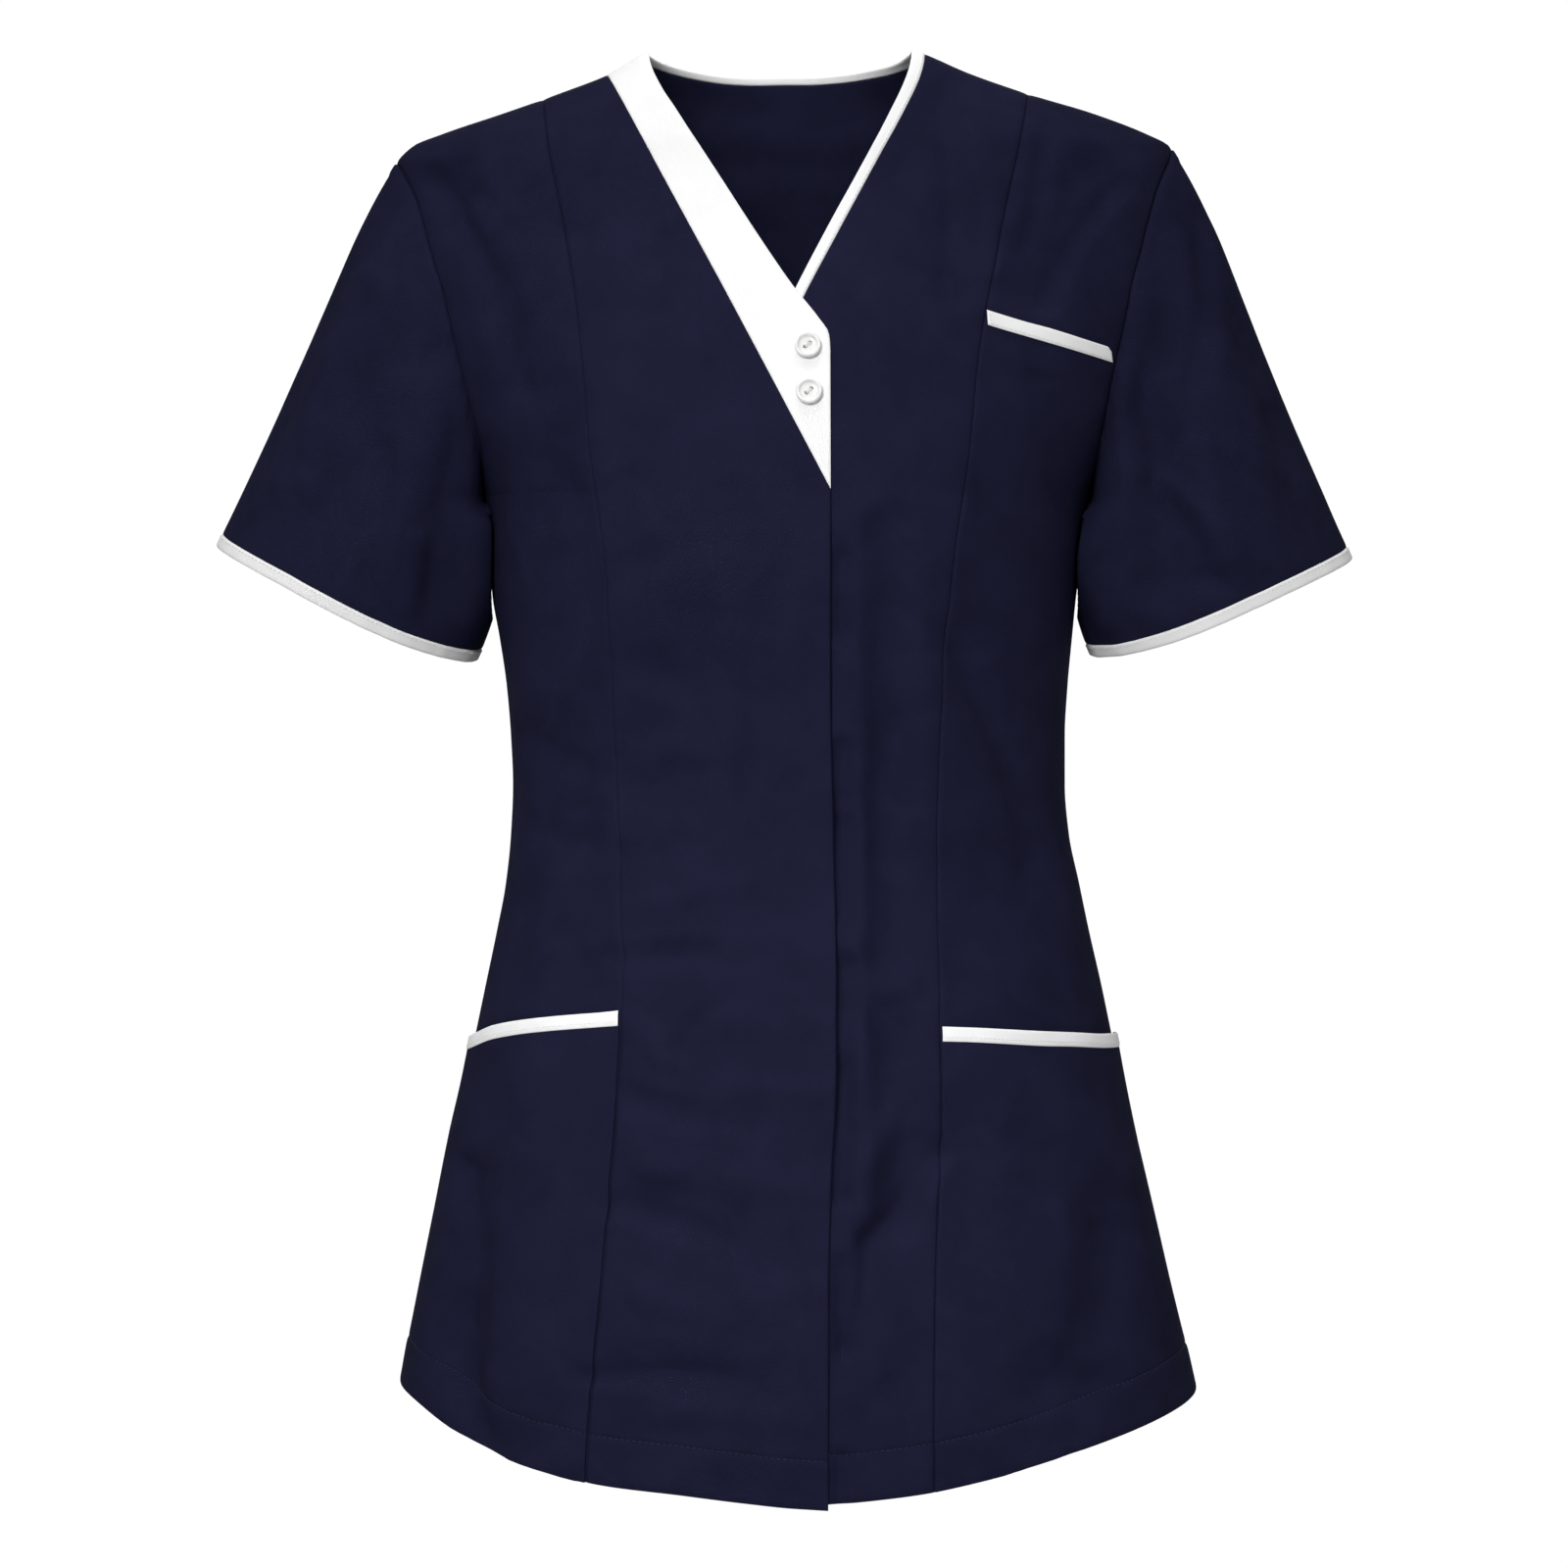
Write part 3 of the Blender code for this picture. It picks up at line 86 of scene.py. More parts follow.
class Curve:
    """A smooth curve through the points of a table, with no overshoot between them."""

    def __init__(self, at, value):
        order = np.argsort(at)
        self.at = np.asarray(at, dtype=float)[order]
        self.value = np.asarray(value, dtype=float)[order]
        rise = np.diff(self.value) / np.diff(self.at)
        product = rise[:-1] * rise[1:]
        total = np.where(product > 0.0, rise[:-1] + rise[1:], 1.0)
        inner = np.where(product > 0.0, 2.0 * product / total, 0.0)
        self.slope = np.concatenate([rise[:1], inner, rise[-1:]])

    def __call__(self, at):
        at = np.clip(np.asarray(at, dtype=float), self.at[0], self.at[-1])
        i = np.clip(np.searchsorted(self.at, at) - 1, 0, len(self.at) - 2)
        step = self.at[i + 1] - self.at[i]
        t = (at - self.at[i]) / step
        start = self.value[i] * (1.0 + 2.0 * t) * (1.0 - t) ** 2
        end = self.value[i + 1] * t * t * (3.0 - 2.0 * t)
        leave = self.slope[i] * step * t * (1.0 - t) ** 2
        arrive = self.slope[i + 1] * step * t * t * (t - 1.0)
        return start + end + leave + arrive


def curves(names, rows):
    """A curve over the first column for each other column of a table."""
    first, *others = np.array(rows, dtype=float).T
    return {name: Curve(first, values) for name, values in zip(names.split()[1:], others)}


FORM = curves("z right left front back", [
    (8, 55, 50, 36, 44), (2, 67, 62, 41, 48), (0, 71, 68, 42, 50), (-9.5, 87, 90, 46, 55),
    (-19.3, 112, 118, 50, 60), (-29.2, 140, 151, 55, 64), (-39, 169, 176.5, 60, 68),
    (-45, 183.5, 187.5, 63, 70), (-54, 191, 191, 66, 72), (-80, 191.5, 191.5, 76, 80),
    (-120, 187.5, 188, 91, 88), (-150, 180, 180, 101, 92), (-180, 165.5, 167, 109, 94),
    (-204, 152, 154, 114, 95), (-217, 148, 149, 115.5, 95), (-240, 146, 145, 118, 94.5),
    (-265, 144, 141.5, 117, 93), (-285, 140.5, 139.5, 115, 91), (-309, 137, 137.3, 111.5, 88.5),
    (-333, 135, 136, 107.5, 86), (-357, 134, 136, 104.5, 85), (-381, 135, 138, 103.5, 86),
    (-405, 137.5, 143, 104, 88.5), (-429, 142, 148, 106, 92), (-453, 147, 153.5, 108.5, 96.5),
    (-477, 152, 158.5, 111, 101), (-501, 157.2, 163.4, 113, 105), (-529, 164.4, 170, 115.5, 108.5),
    (-563, 171.2, 178, 118, 111.5), (-599, 178.4, 186.3, 120, 114), (-650, 188.2, 198.6, 123, 117),
    (-715, 199, 212, 126, 120),
])
ARMHOLE = curves("share front back", [
    (0.00, 0.0, 0.0), (0.04, 4.0, 3.0), (0.15, 12.5, 9.0), (0.30, 18.5, 14.0), (0.43, 22.0, 17.0),
    (0.60, 20.0, 16.0), (0.79, 11.5, 10.0), (0.94, 2.8, 2.8), (1.00, 0.0, 0.0),
])
PRINCESS = curves("z right left", [
    (0, 124, 122), (-24, 119, 117), (-50, 115, 112), (-75, 110, 106.5), (-108, 104, 100),
    (-150, 99, 92.3), (-202, 94, 87), (-244, 88.3, 81), (-282, 85.7, 77.3), (-330, 83, 74),
    (-384, 81, 72), (-450, 79, 73), (-510, 81.5, 74), (-552, 85, 72.5), (-590, 88, 71),
    (-654, 94, 70), (-715, 97.5, 70),
])
LAP_EDGE = curves("z x", [
    (-217, 20.6), (-302, 20.3), (-379, 21.8), (-450, 23.2), (-495, 23.2), (-544, 20.8),
    (-592, 19.5), (-715, 19.4),
])["x"]
LEFT_NECK = curves("z x", [
    (0.4, NECK_LEFT_X), (-5.6, 66.7), (-10.1, 65.7), (-14.3, 64.4), (-18.5, 62.8), (-30.7, 56.9),
    (-42.7, 50.7), (-59.9, 41.4), (-89.5, 25.9), (-124.1, 7.9), (NECK_END_Z, UNDERLAP_X),
])["x"]
HEM = curves("share right left", [
    (-0.10, -700.0, -697.6), (0.00, -698.7, -697.6), (0.10, -696.6, -697.0),
    (0.25, -693.2, -694.4), (0.47, -688.6, -686.4), (0.67, -680.0, -675.0), (0.83, -666.5, -665.0),
    (0.93, -654.0, -657.0), (1.00, -645.5, -649.0),
])
HIP_MOUTH = curves("x right left", [
    (0, -462.6, -471.3), (60, -463.1, -471.8), (79, -464.7, -472.3), (119, -468.7, -474.8),
    (139, -472.9, -476.3), (153, -480.0, -477.8), (160, -483.0, -478.3),
])

# Folds and creases, as soft ridges (+) and troughs (-) along a bowed line seen from the front or
# the back, for each piece of cloth: x and z of its ends, sideways bow, half width and height.
CREASES = {
    "right": (
        (-163, -68, -125, -165, 8, 20, -3.8), (-118, -330, -98, -385, 3, 20, -3.1),
        (-152, -545, -160, -640, 5, 19, -5.0), (-124, -500, -128, -650, 0, 22, 3.8),
        (-80, -632, -30, -638, 2, 15, -3.1), (-72, -552, -42, -562, 0, 15, -2.5),
        (-172, -62, -131, -166, 6, 9, -2.2), (-150, -80, -120, -140, 4, 10, 1.6),
        (-128, -335, -92, -352, -2, 10, -1.8), (-132, -372, -96, -384, -3, 10, -1.4),
        (-108, -428, -92, -452, 0, 9, -1.3), (-80, -300, -48, -312, 3, 14, -2.0),
        (-70, -345, -30, -338, 3, 14, 1.8), (-78, -392, -50, -386, -2, 12, -2.2),
        (-58, -412, -24, -406, 2, 12, 2.2), (-84, -440, -38, -437, 0, 10, -2.8),
        (-50, -482, -26, -458, 2, 10, -2.6), (-76, -468, -58, -488, 0, 10, 1.8),
        (-72, -506, -14, -518, -3, 11, -3.2), (-62, -540, -22, -545, 2, 12, 2.4),
        (-84, -557, -28, -574, 2, 10, -3.0), (-70, -600, -24, -606, -2, 12, 2.0),
        (-24, -472, 16, -470, 0, 10, 2.8), (-22, -501, 18, -503, 0, 9, 3.2),
        (-20, -546, 17, -548, 0, 13, 2.6), (-20, -600, 16, -596, 2, 12, 2.4),
        (-18, -430, 18, -432, 0, 14, 2.0), (-16, -372, 18, -366, 0, 16, 1.8),
        (-95, -638, -16, -637, 2, 7, -2.8), (-60, -655, 6, -659, 3, 10, 2.0),
        (-157, -540, -160, -612, 3, 8, -3.0), (-161, -608, -143, -672, -5, 13, -3.6),
        (-140, -560, -142, -640, 0, 8, 1.9), (-118, -655, -104, -682, 0, 7, 1.9),
        (-176, -590, -180, -640, 2, 8, 1.6), (-60, -250, -40, -330, 4, 14, -1.1),
        (-112, -205, -96, -270, 5, 12, -1.2),
    ),
    "left": (
        (74, -30, 80, -118, 3, 18, -2.4), (148, -62, 118, -120, -4, 20, -3.1),
        (84, -290, 124, -395, 4, 24, -3.2), (49, -236, 49, -440, 1, 17, -4.8),
        (33, -300, 33, -436, 1, 10, 1.4), (50, -468, 53, -560, 3, 17, -4.6),
        (34, -470, 36, -560, 2, 10, 1.4), (64, -530, 34, -625, -6, 16, -3.6),
        (50, -640, 46, -712, 0, 22, -2.4), (152, -560, 130, -640, 8, 20, -4.4),
        (76, -26, 78, -112, 2, 9, -1.4), (124, -46, 114, -98, 2, 8, -1.9),
        (163, -66, 124, -126, -4, 8, -2.1), (96, -60, 98, -110, 2, 10, 1.4),
        (116, -161, 127, -163, 0, 4, -1.4), (84, -296, 122, -393, 4, 9, -1.8),
        (100, -300, 132, -372, 3, 10, 1.8), (58, -395, 66, -455, 2, 10, -1.4),
        (72, -531, 39, -573, 3, 9, -2.4), (39, -573, 32, -622, 2, 9, -2.2),
        (52, -510, 30, -545, 2, 9, 1.9), (157, -572, 152, -640, 3, 12, -2.4),
        (153, -640, 133, -666, -3, 12, -2.2), (116, -628, 116, -680, 1, 6, -2.4),
        (132, -560, 128, -630, 3, 9, 2.1), (96, -520, 100, -610, 2, 12, 1.2),
        (52, -640, 62, -672, 0, 9, -1.6),
        # under the edge of the right front the cloth pulls in between its hidden fastenings
        (25, -250, 25, -284, 0, 9, -3.5), (26, -340, 26, -372, 0, 9, -3.5),
        (27, -379, 28, -419, 0, 10, -3.8), (27, -443, 27, -487, 0, 10, -3.8),
        (26, -494, 25, -550, 0, 10, -3.8), (24, -585, 24, -622, 0, 9, -3.5),
        (24, -676, 24, -706, 0, 8, -2.9),
    ),
    "back": (
        (-60, -325, -118, -368, 4, 24, -3.4), (52, -318, 116, -362, -4, 24, -3.4),
        (-30, -372, 70, -382, 4, 24, -2.6), (-118, -470, -132, -640, 6, 22, -5.0),
        (96, -455, 118, -640, -6, 22, -5.0), (-6, -520, 4, -660, 5, 26, 4.4),
        (-148, -120, -112, -205, 6, 20, -3.8), (146, -120, 108, -200, -6, 20, -3.8),
        (-66, -330, -112, -362, 3, 11, -1.8), (60, -322, 108, -356, -3, 11, -1.8),
        (-44, -392, 34, -398, 4, 13, -1.2), (-20, -350, 52, -346, -4, 10, 1.6),
        (-124, -500, -136, -600, 4, 9, -2.9), (104, -490, 118, -610, -4, 9, -2.9),
        (-58, -560, -66, -650, 3, 12, -2.2), (48, -540, 56, -640, -3, 12, -2.2),
        (-140, -130, -108, -196, 5, 9, -1.9), (140, -126, 104, -190, -5, 9, -1.9),
        (-54, -40, 48, -44, 6, 14, -1.2),
    ),
    "sleeve_right_front": (
        (-205, -112, -229, -213, -6, 12, 2.2), (-229, -213, -232, -262, 0, 11, 1.7),
        (-196, -196, -201, -262, 2, 11, -2.3), (-178, -240, -184, -285, 1, 9, 1.9),
        (-204, -255, -196, -276, 0, 8, -1.5), (-246, -170, -262, -236, 2, 14, -1.4),
        (-176, -96, -168, -150, 3, 14, -1.6), (-166, -110, -166, -258, 2, 26, -4.6),
    ),
    "sleeve_right_back": (
        (-196, -110, -222, -230, 4, 14, -2.3), (-172, -150, -190, -270, 3, 14, 1.7),
        (-240, -160, -256, -240, 3, 12, -1.4),
    ),
    "sleeve_left_front": (
        (199, -80, 199, -162, 3, 9, -2.2), (208, -86, 210, -150, 2, 11, 1.4),
        (181, -118, 181, -256, 3, 24, -5.6), (174, -212, 203, -256, 5, 9, -2.1),
        (203, -256, 224, -269, 0, 8, -1.6), (184, -214, 214, -246, 4, 11, 1.5),
        (236, -180, 252, -238, -3, 14, -1.3),
    ),
    "sleeve_left_back": (
        (192, -105, 218, -225, -4, 14, -2.3), (170, -160, 186, -270, -3, 14, 1.7),
        (238, -160, 252, -240, -3, 12, -1.4),
    ),
}

# ---- torso form ----
def by_side(table, x, z):
    """Values of a table at levels z, from the column of the side that x is on."""
    return np.where(np.asarray(x) > 0.0, table["left"](z), table["right"](z))


def half_width(x, z):
    return by_side(FORM, x, z)


def torso_point(angle, z):
    """Points of the form at angles from +X, counted towards the back."""
    angle, z = np.broadcast_arrays(np.asarray(angle, dtype=float), np.asarray(z, dtype=float))
    c = np.cos(angle)
    s = np.sin(angle)
    reach = (np.abs(c) ** SQUARENESS + np.abs(s) ** SQUARENESS) ** (1.0 / SQUARENESS)
    depth = np.where(s > 0.0, FORM["back"](z), FORM["front"](z))
    return np.stack([half_width(c, z) * c / reach, depth * s / reach, z], axis=-1)


def torso_normal(angle, z):
    across = torso_point(angle + 0.01, z) - torso_point(angle - 0.01, z)
    up = torso_point(angle, z + 0.5) - torso_point(angle, z - 0.5)
    return unit(np.cross(across, up))


def unit(vectors):
    return vectors / np.maximum(np.linalg.norm(vectors, axis=-1, keepdims=True), 1e-12)


def angle_at(x, z, face):
    """Angle of the point of the form that is seen at (x, z) on its front or back face."""
    share = np.clip(np.abs(x) / half_width(x, z), 1e-5, 1.0)
    turn = np.arctan(np.maximum(share ** -SQUARENESS - 1.0, 0.0) ** (1.0 / SQUARENESS))
    return face * np.where(np.asarray(x) > 0.0, turn, math.pi - turn)


def shoulder_z(x):
    """Level of the shoulder seam at distances x from the centre."""
    x = np.asarray(x, dtype=float)
    low = np.full(x.shape, -60.0)
    high = np.full(x.shape, 8.0)
    for _ in range(40):
        middle = 0.5 * (low + high)
        wide = half_width(x, middle) > np.abs(x)
        low = np.where(wide, middle, low)
        high = np.where(wide, high, middle)
    return 0.5 * (low + high)


def smooth_step(value):
    t = np.clip(value, 0.0, 1.0)
    return t * t * (3.0 - 2.0 * t)


def bump(distance, half):
    """Soft bump that is 1 on its line and 0 at its half width."""
    t = np.minimum(distance / half, 1.0)
    return (1.0 - t * t) ** 2


def mix(a, b, share):
    return a * (1.0 - share) + b * share


def crease_height(x, z, layer):
    """Height of the cloth above the plain form, from every crease of its piece of cloth."""
    height = np.zeros(np.shape(x))
    for x0, z0, x1, z1, bow, half, ridge in CREASES[layer]:
        along = np.array([x1 - x0, z1 - z0], dtype=float)
        length = np.linalg.norm(along)
        side = np.array([-along[1], along[0]]) / length
        dx, dz = x - x0, z - z0
        t = np.clip((dx * along[0] + dz * along[1]) / length ** 2, 0.0, 1.0)
        bend = bow * 4.0 * t * (1.0 - t)
        away = np.hypot(dx - along[0] * t - side[0] * bend, dz - along[1] * t - side[1] * bend)
        height += ridge * bump(away, half)
    return height


def unevenness(x, z, face):
    """The slow, shallow unevenness of cloth that hangs, in three sizes."""
    across = x + 6.0 * np.sin(z / 27.0 + face) + 3.0 * np.sin(z / 11.3 + 2.0)
    down = z + 7.0 * np.sin(x / 23.0 + 1.0) + 3.0 * np.sin(x / 9.7 + face)
    slow = np.sin(across / 17.0 + 1.3 * face) * np.sin(down / 23.0 + 0.6)
    middle = np.sin((across + 0.6 * down) / 9.1 + face) * np.sin((down - 0.5 * across) / 12.7 + 1.1)
    fine = np.sin((0.8 * across - down) / 5.3) * np.sin((across + 0.9 * down) / 6.7 + face)
    where = 0.6 + 0.4 * np.sin(x / 61.0 + z / 83.0 + face)
    return 0.85 * slow + 0.46 * middle * where + 0.17 * fine * where ** 2


TURN_DEPTH = (2.4, 3.0)     # drop of the left and the right side panels beside their princess seams
TURN_REACH = (8.0, 7.0)     # and the distance over which it comes


def side_turn(x, z):
    """The side panels turn away a little more sharply beside their princess seams."""
    beyond = np.maximum(np.abs(x) - by_side(PRINCESS, x, z), 0.0)
    depth, reach = np.where(x > 0.0, *TURN_DEPTH), np.where(x > 0.0, *TURN_REACH)
    at_side = smooth_step((half_width(x, z) - np.abs(x)) / 38.0)
    level = smooth_step((-90.0 - z) / 90.0)
    return -depth * (1.0 - np.exp(-beyond / reach)) * at_side * level


def lap_share(x):
    return smooth_step((x - LAP_FROM_X) / (LAP_FULL_X - LAP_FROM_X))


def lap_lift(x, z):
    """The right front rises to cross the left front, and gapes a little between fastenings."""
    gape = 0.5 + 0.5 * np.sin(z / 14.5 + 0.9) * np.sin(z / 37.0)
    near = smooth_step((x - 5.0) / 18.0) * smooth_step((-225.0 - z) / 20.0)
    return LAP_LIFT * lap_share(x) + 1.3 * gape * near


def ripple(at, length, sway, sway_length, swell=0.0, swell_length=1.0):
    """Small waves along a gathered seam, uneven in their length and height."""
    wave = np.sin(at / length + sway * np.sin(at / sway_length))
    return wave * (1.0 - swell + swell * np.sin(at / swell_length))


def seam_pucker(x, z):
    """Small ripples where a princess seam gathers the cloth."""
    away = np.abs(np.abs(x) - by_side(PRINCESS, x, z))
    return 0.20 * ripple(z, 2.1, 1.8, 13.0, 0.4, 29.0) * np.exp(-(away / 5.0) ** 2)


def cloth_height(x, z, layer):
    face = BACK if layer == "back" else FRONT
    height = crease_height(x, z, layer) + unevenness(x, z, face) + seam_pucker(x, z)
    height = height * smooth_step((half_width(x, z) - np.abs(x)) / 12.0) + side_turn(x, z)
    if layer == "right":
        below = smooth_step((-225.0 - z) / 60.0)
        height = height * mix(1.0 - lap_share(x), 1.0 - 0.5 * lap_share(x), below)
        height = height + lap_lift(x, z)
    if layer == "left":
        under = smooth_step((26.0 - x) / 8.0)
        height = height * (1.0 - under) - 0.3 * under
    return height


def torso_spot(angle, z, layer):
    """Points of one layer of cloth and the form's outward directions there."""
    point = torso_point(angle, z)
    normal = torso_normal(angle, z)
    return point + normal * cloth_height(point[..., 0], point[..., 2], layer)[..., None], normal


def seen_spot(x, z, face, layer):
    """The same where the cloth is seen at (x, z) on its front or back face."""
    return torso_spot(angle_at(x, z, face), z, layer)


# ---- seams and edges ----
def armhole_x(side, face, z):
    tip = LEFT_TIP_Z if side > 0 else RIGHT_TIP_Z
    inset = ARMHOLE["front" if face == FRONT else "back"]((z - tip) / (ARMPIT_Z - tip))
    return side * (half_width(side, z) - inset)


def side_x(side, face):
    return lambda z: np.where(z > ARMPIT_Z, armhole_x(side, face, z), side * half_width(side, z))


def princess_x(side):
    return lambda z: side * PRINCESS["left" if side > 0 else "right"](z)


def right_front_edge(z):
    """Inner edge of the right front: along the neck band, then straight down the front."""
    top = shoulder_z(np.array(BAND_TOP_X))
    corner = LAP_EDGE(ARMPIT_Z)
    share = (z - top) / (ARMPIT_Z - top)
    return np.where(z < ARMPIT_Z, LAP_EDGE(z), BAND_TOP_X + (corner - BAND_TOP_X) * share)


def left_front_edge(z):
    return np.where(z > NECK_END_Z, LEFT_NECK(z), UNDERLAP_X)


def across_back(pair, at, x, form_z):
    """Value of a table pair on the back, where it passes from side to side."""
    weight = 0.5 + 0.5 * np.clip(x / half_width(x, form_z), -1.0, 1.0)
    return mix(pair["right"](at), pair["left"](at), weight)


def hem_z(x, layer):
    share = x / half_width(x, HEM_FORM_Z)
    if layer == "back":
        return across_back(HEM, np.abs(share), x, HEM_FORM_Z)
    return HEM[layer](-share if layer == "right" else share)


def hip_mouth_z(x, layer):
    if layer == "back":
        return across_back(HIP_MOUTH, np.abs(x), x, HIP_FORM_Z)
    return HIP_MOUTH[layer](np.abs(x))


# ---- grids of cloth ----
def even_shares(length, spacing, edges=(True, True)):
    """Shares along a length, with closer lines beside its edges."""
    start = [s for s in EDGE_STEPS if edges[0]] or [0.0]
    end = [length - s for s in reversed(EDGE_STEPS) if edges[1]] or [length]
    count = max(int(round((end[0] - start[-1]) / spacing)), 1)
    middle = np.linspace(start[-1], end[0], count + 1)[1:-1]
    return np.array([*start, *middle, *end]) / length


def ridge_shares(length, spacing):
    """Shares from the shoulder seam downwards."""
    near = RIDGE_SHARE * (np.arange(RIDGE_ROWS) / RIDGE_ROWS) ** 2.3
    count = int(length * (1.0 - RIDGE_SHARE) / spacing)
    return np.concatenate([near, np.linspace(RIDGE_SHARE, 1.0, count + 1)])


SPACING = 2.7
UPPER = ridge_shares(-ARMPIT_Z, SPACING)
BODICE_ROWS = 95        # rows of a panel from the armpit's level to the mouths of the hip pockets
MOUTH_ROW = len(UPPER) + BODICE_ROWS - 2
TRIM_ROWS = np.array([0.1, 0.3, 0.5, 0.7, 0.9])     # shares of the trim's width
SKIRT_ROWS = 66         # rows from there to the hem
HEM_ROWS = np.array([30.0, 28.0, 26.2, 25.0, 24.2, 23.6, 23.0, 22.4, 21.8, 21.0, 19.5, 17.0, 14.5,
                     12.0, 9.5, 7.0, 4.8, 3.0, 1.8, 0.9, 0.35, 0.0])
STITCH_ROW = int(np.argmin(np.abs(HEM_ROWS - HEM_DEPTH))) - len(HEM_ROWS)
FAR_ABOVE_HEM = 400.0


class Cloth:
    """A grid of points on the outer face of a piece, its directions and its own lengths."""

    def __init__(self, points, plain, closed=False):
        if closed:
            across = np.roll(points, -1, axis=1) - np.roll(points, 1, axis=1)
        else:
            across = np.gradient(points, axis=1)
        normals = np.cross(across, np.gradient(points, axis=0))
        flip = np.where((normals * plain).sum(axis=-1, keepdims=True) < 0.0, -1.0, 1.0)
        self.points, self.normals, self.closed = points, unit(normals * flip), closed

    def moved(self, points, normals, closed=False):
        """Cloth at other points, with directions that are known."""
        piece = object.__new__(Cloth)
        piece.points, piece.normals, piece.closed = points, normals, closed
        return piece

    def below(self, row):
        return self.moved(self.points[row:], self.normals[row:])

    def lifted(self, height):
        raised = self.points + self.normals * np.asarray(height)[..., None]
        return self.moved(raised, self.normals, self.closed)

    def line(self, index):
        return self.points[index], self.normals[index]

    def steps(self, axis):
        """Length along the rows (axis 1) or down the columns (axis 0), from the first line."""
        step = np.linalg.norm(np.diff(self.points, axis=axis), axis=-1)
        return np.pad(np.cumsum(step, axis=axis), [(1 - axis, 0), (axis, 0)])

    def away(self, sides):
        """Distance from the nearest of the named sides."""
        down, along = self.steps(0), self.steps(1)
        found = {"top": down, "bottom": down[-1:] - down, "start": along,
                 "end": along[:, -1:] - along}
        return np.minimum.reduce([found[name] for name in sides])


def panel(face, start_edge, end_edge, top, u, layer):
    """Cloth between two edges, from the shoulder down to the hem. top gives (x, z) at each u."""
    def angle(z):
        start = angle_at(start_edge(z), z, face)
        return mix(start, angle_at(end_edge(z), z, face), u)

    def settle(z, table):
        z = np.full(u.shape, z)
        for _ in range(6):
            z = table(torso_point(angle(z), z)[:, 0], layer)
        return z[None]

    level = torso_point(angle(ARMPIT_Z), ARMPIT_Z)[:, 0]
    share = UPPER[:-1, None]
    x, z = mix(top[0][None], level[None], share), mix(top[1][None], ARMPIT_Z, share)
    start_shift = start_edge(z[:, 0]) - x[:, 0]
    end_shift = end_edge(z[:, -1]) - x[:, -1]
    start_shift[0] = end_shift[0] = 0.0
    x = x + mix(start_shift[:, None], end_shift[:, None], u[None])
    mouth = settle(HIP_FORM_Z, hip_mouth_z)
    hem = settle(HEM_FORM_Z, hem_z)
    bodice = np.linspace(0.0, 1.0, BODICE_ROWS)[:, None]
    skirt = np.linspace(0.0, 1.0, SKIRT_ROWS + 1)[:-1, None]
    levels = np.concatenate([mix(ARMPIT_Z, mouth, bodice), mouth - HIP_TRIM * TRIM_ROWS[:, None],
                             mix(mouth - HIP_TRIM, hem + HEM_ROWS[0], skirt),
                             hem + HEM_ROWS[:, None]])
    angles = np.concatenate([angle_at(x, z, face), angle(levels)])
    points, plain = torso_spot(angles, np.concatenate([z, levels]), layer)
    above_hem = np.concatenate([np.full(z.shape, FAR_ABOVE_HEM), levels - hem])
    shape = hem_shape(above_hem, points[..., 0] + points[..., 1])
    cloth = Cloth(points + plain * shape[..., None], plain)
    cloth.above_hem = above_hem
    return cloth


def hem_shape(above, along):
    """Height of the turned-up hem, its pulled-in stitch line and its small ripples."""
    puff = 0.30 * smooth_step((HEM_DEPTH - above) / 3.0) * smooth_step(above / 3.0)
    groove = -0.40 * bump(np.abs(above - HEM_DEPTH), 1.5)
    waves = 0.26 * ripple(along, 2.6, 1.5, 19.0, 0.4, 31.0)
    waves = waves * np.exp(-((above - HEM_DEPTH + 4.0) / 9.0) ** 2)
    return np.where(above < 60.0, puff + groove + waves, 0.0)


def link(name, data):
    """Object for a mesh, a light or the camera, linked to the scene."""
    made = bpy.data.objects.new(name, data)
    bpy.context.scene.collection.objects.link(made)
    return made


def mesh_object(name, vertices, faces, material=None, smooth=False, scale=MM):
    """Object from vertices in millimetres, or in metres at scale 1, and faces."""
    mesh = bpy.data.meshes.new(name)
    mesh.from_pydata((np.asarray(vertices) * scale).tolist(), [], faces)
    mesh.update()
    if smooth:
        mesh.shade_smooth()
    if material is not None:
        mesh.materials.append(material)
    return link(name, mesh)


def place(piece, node=None):
    """The object rides the part and replaces its node."""
    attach(piece, "root")
    if node is not None:
        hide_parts(node)
    return piece


def grid_faces(rows, count, closed):
    """Corners of the quads of a thin closed body over a grid, as (row, column, inner)."""
    i, j = np.arange(rows - 1), np.arange(count if closed else count - 1)
    a, b = (grid.ravel() for grid in np.meshgrid(i, j, indexing="ij"))
    last, end = rows - 1, count - 1
    quads = [[(a, b, 0), (a + 1, b, 0), (a + 1, b + 1, 0), (a, b + 1, 0)],
             [(a, b, 1), (a, b + 1, 1), (a + 1, b + 1, 1), (a + 1, b, 1)],
             [(0, j, 0), (0, j + 1, 0), (0, j + 1, 1), (0, j, 1)],
             [(last, j, 0), (last, j, 1), (last, j + 1, 1), (last, j + 1, 0)]]
    if not closed:
        quads += [[(i, 0, 0), (i, 0, 1), (i + 1, 0, 1), (i + 1, 0, 0)],
                  [(i, end, 0), (i + 1, end, 0), (i + 1, end, 1), (i, end, 1)]]
    return np.concatenate([
        np.stack([np.stack(np.broadcast_arrays(*corner), axis=-1) for corner in quad], axis=1)
        for quad in quads])


ENDS, LONG_SIDES = ("top", "bottom"), ("start", "end")
LINE_OF_SIDE = {"top": ((0, ALL), (1, ALL)), "start": ((ALL, 0), (ALL, 1)),
                "end": ((ALL, -1), (ALL, -2))}


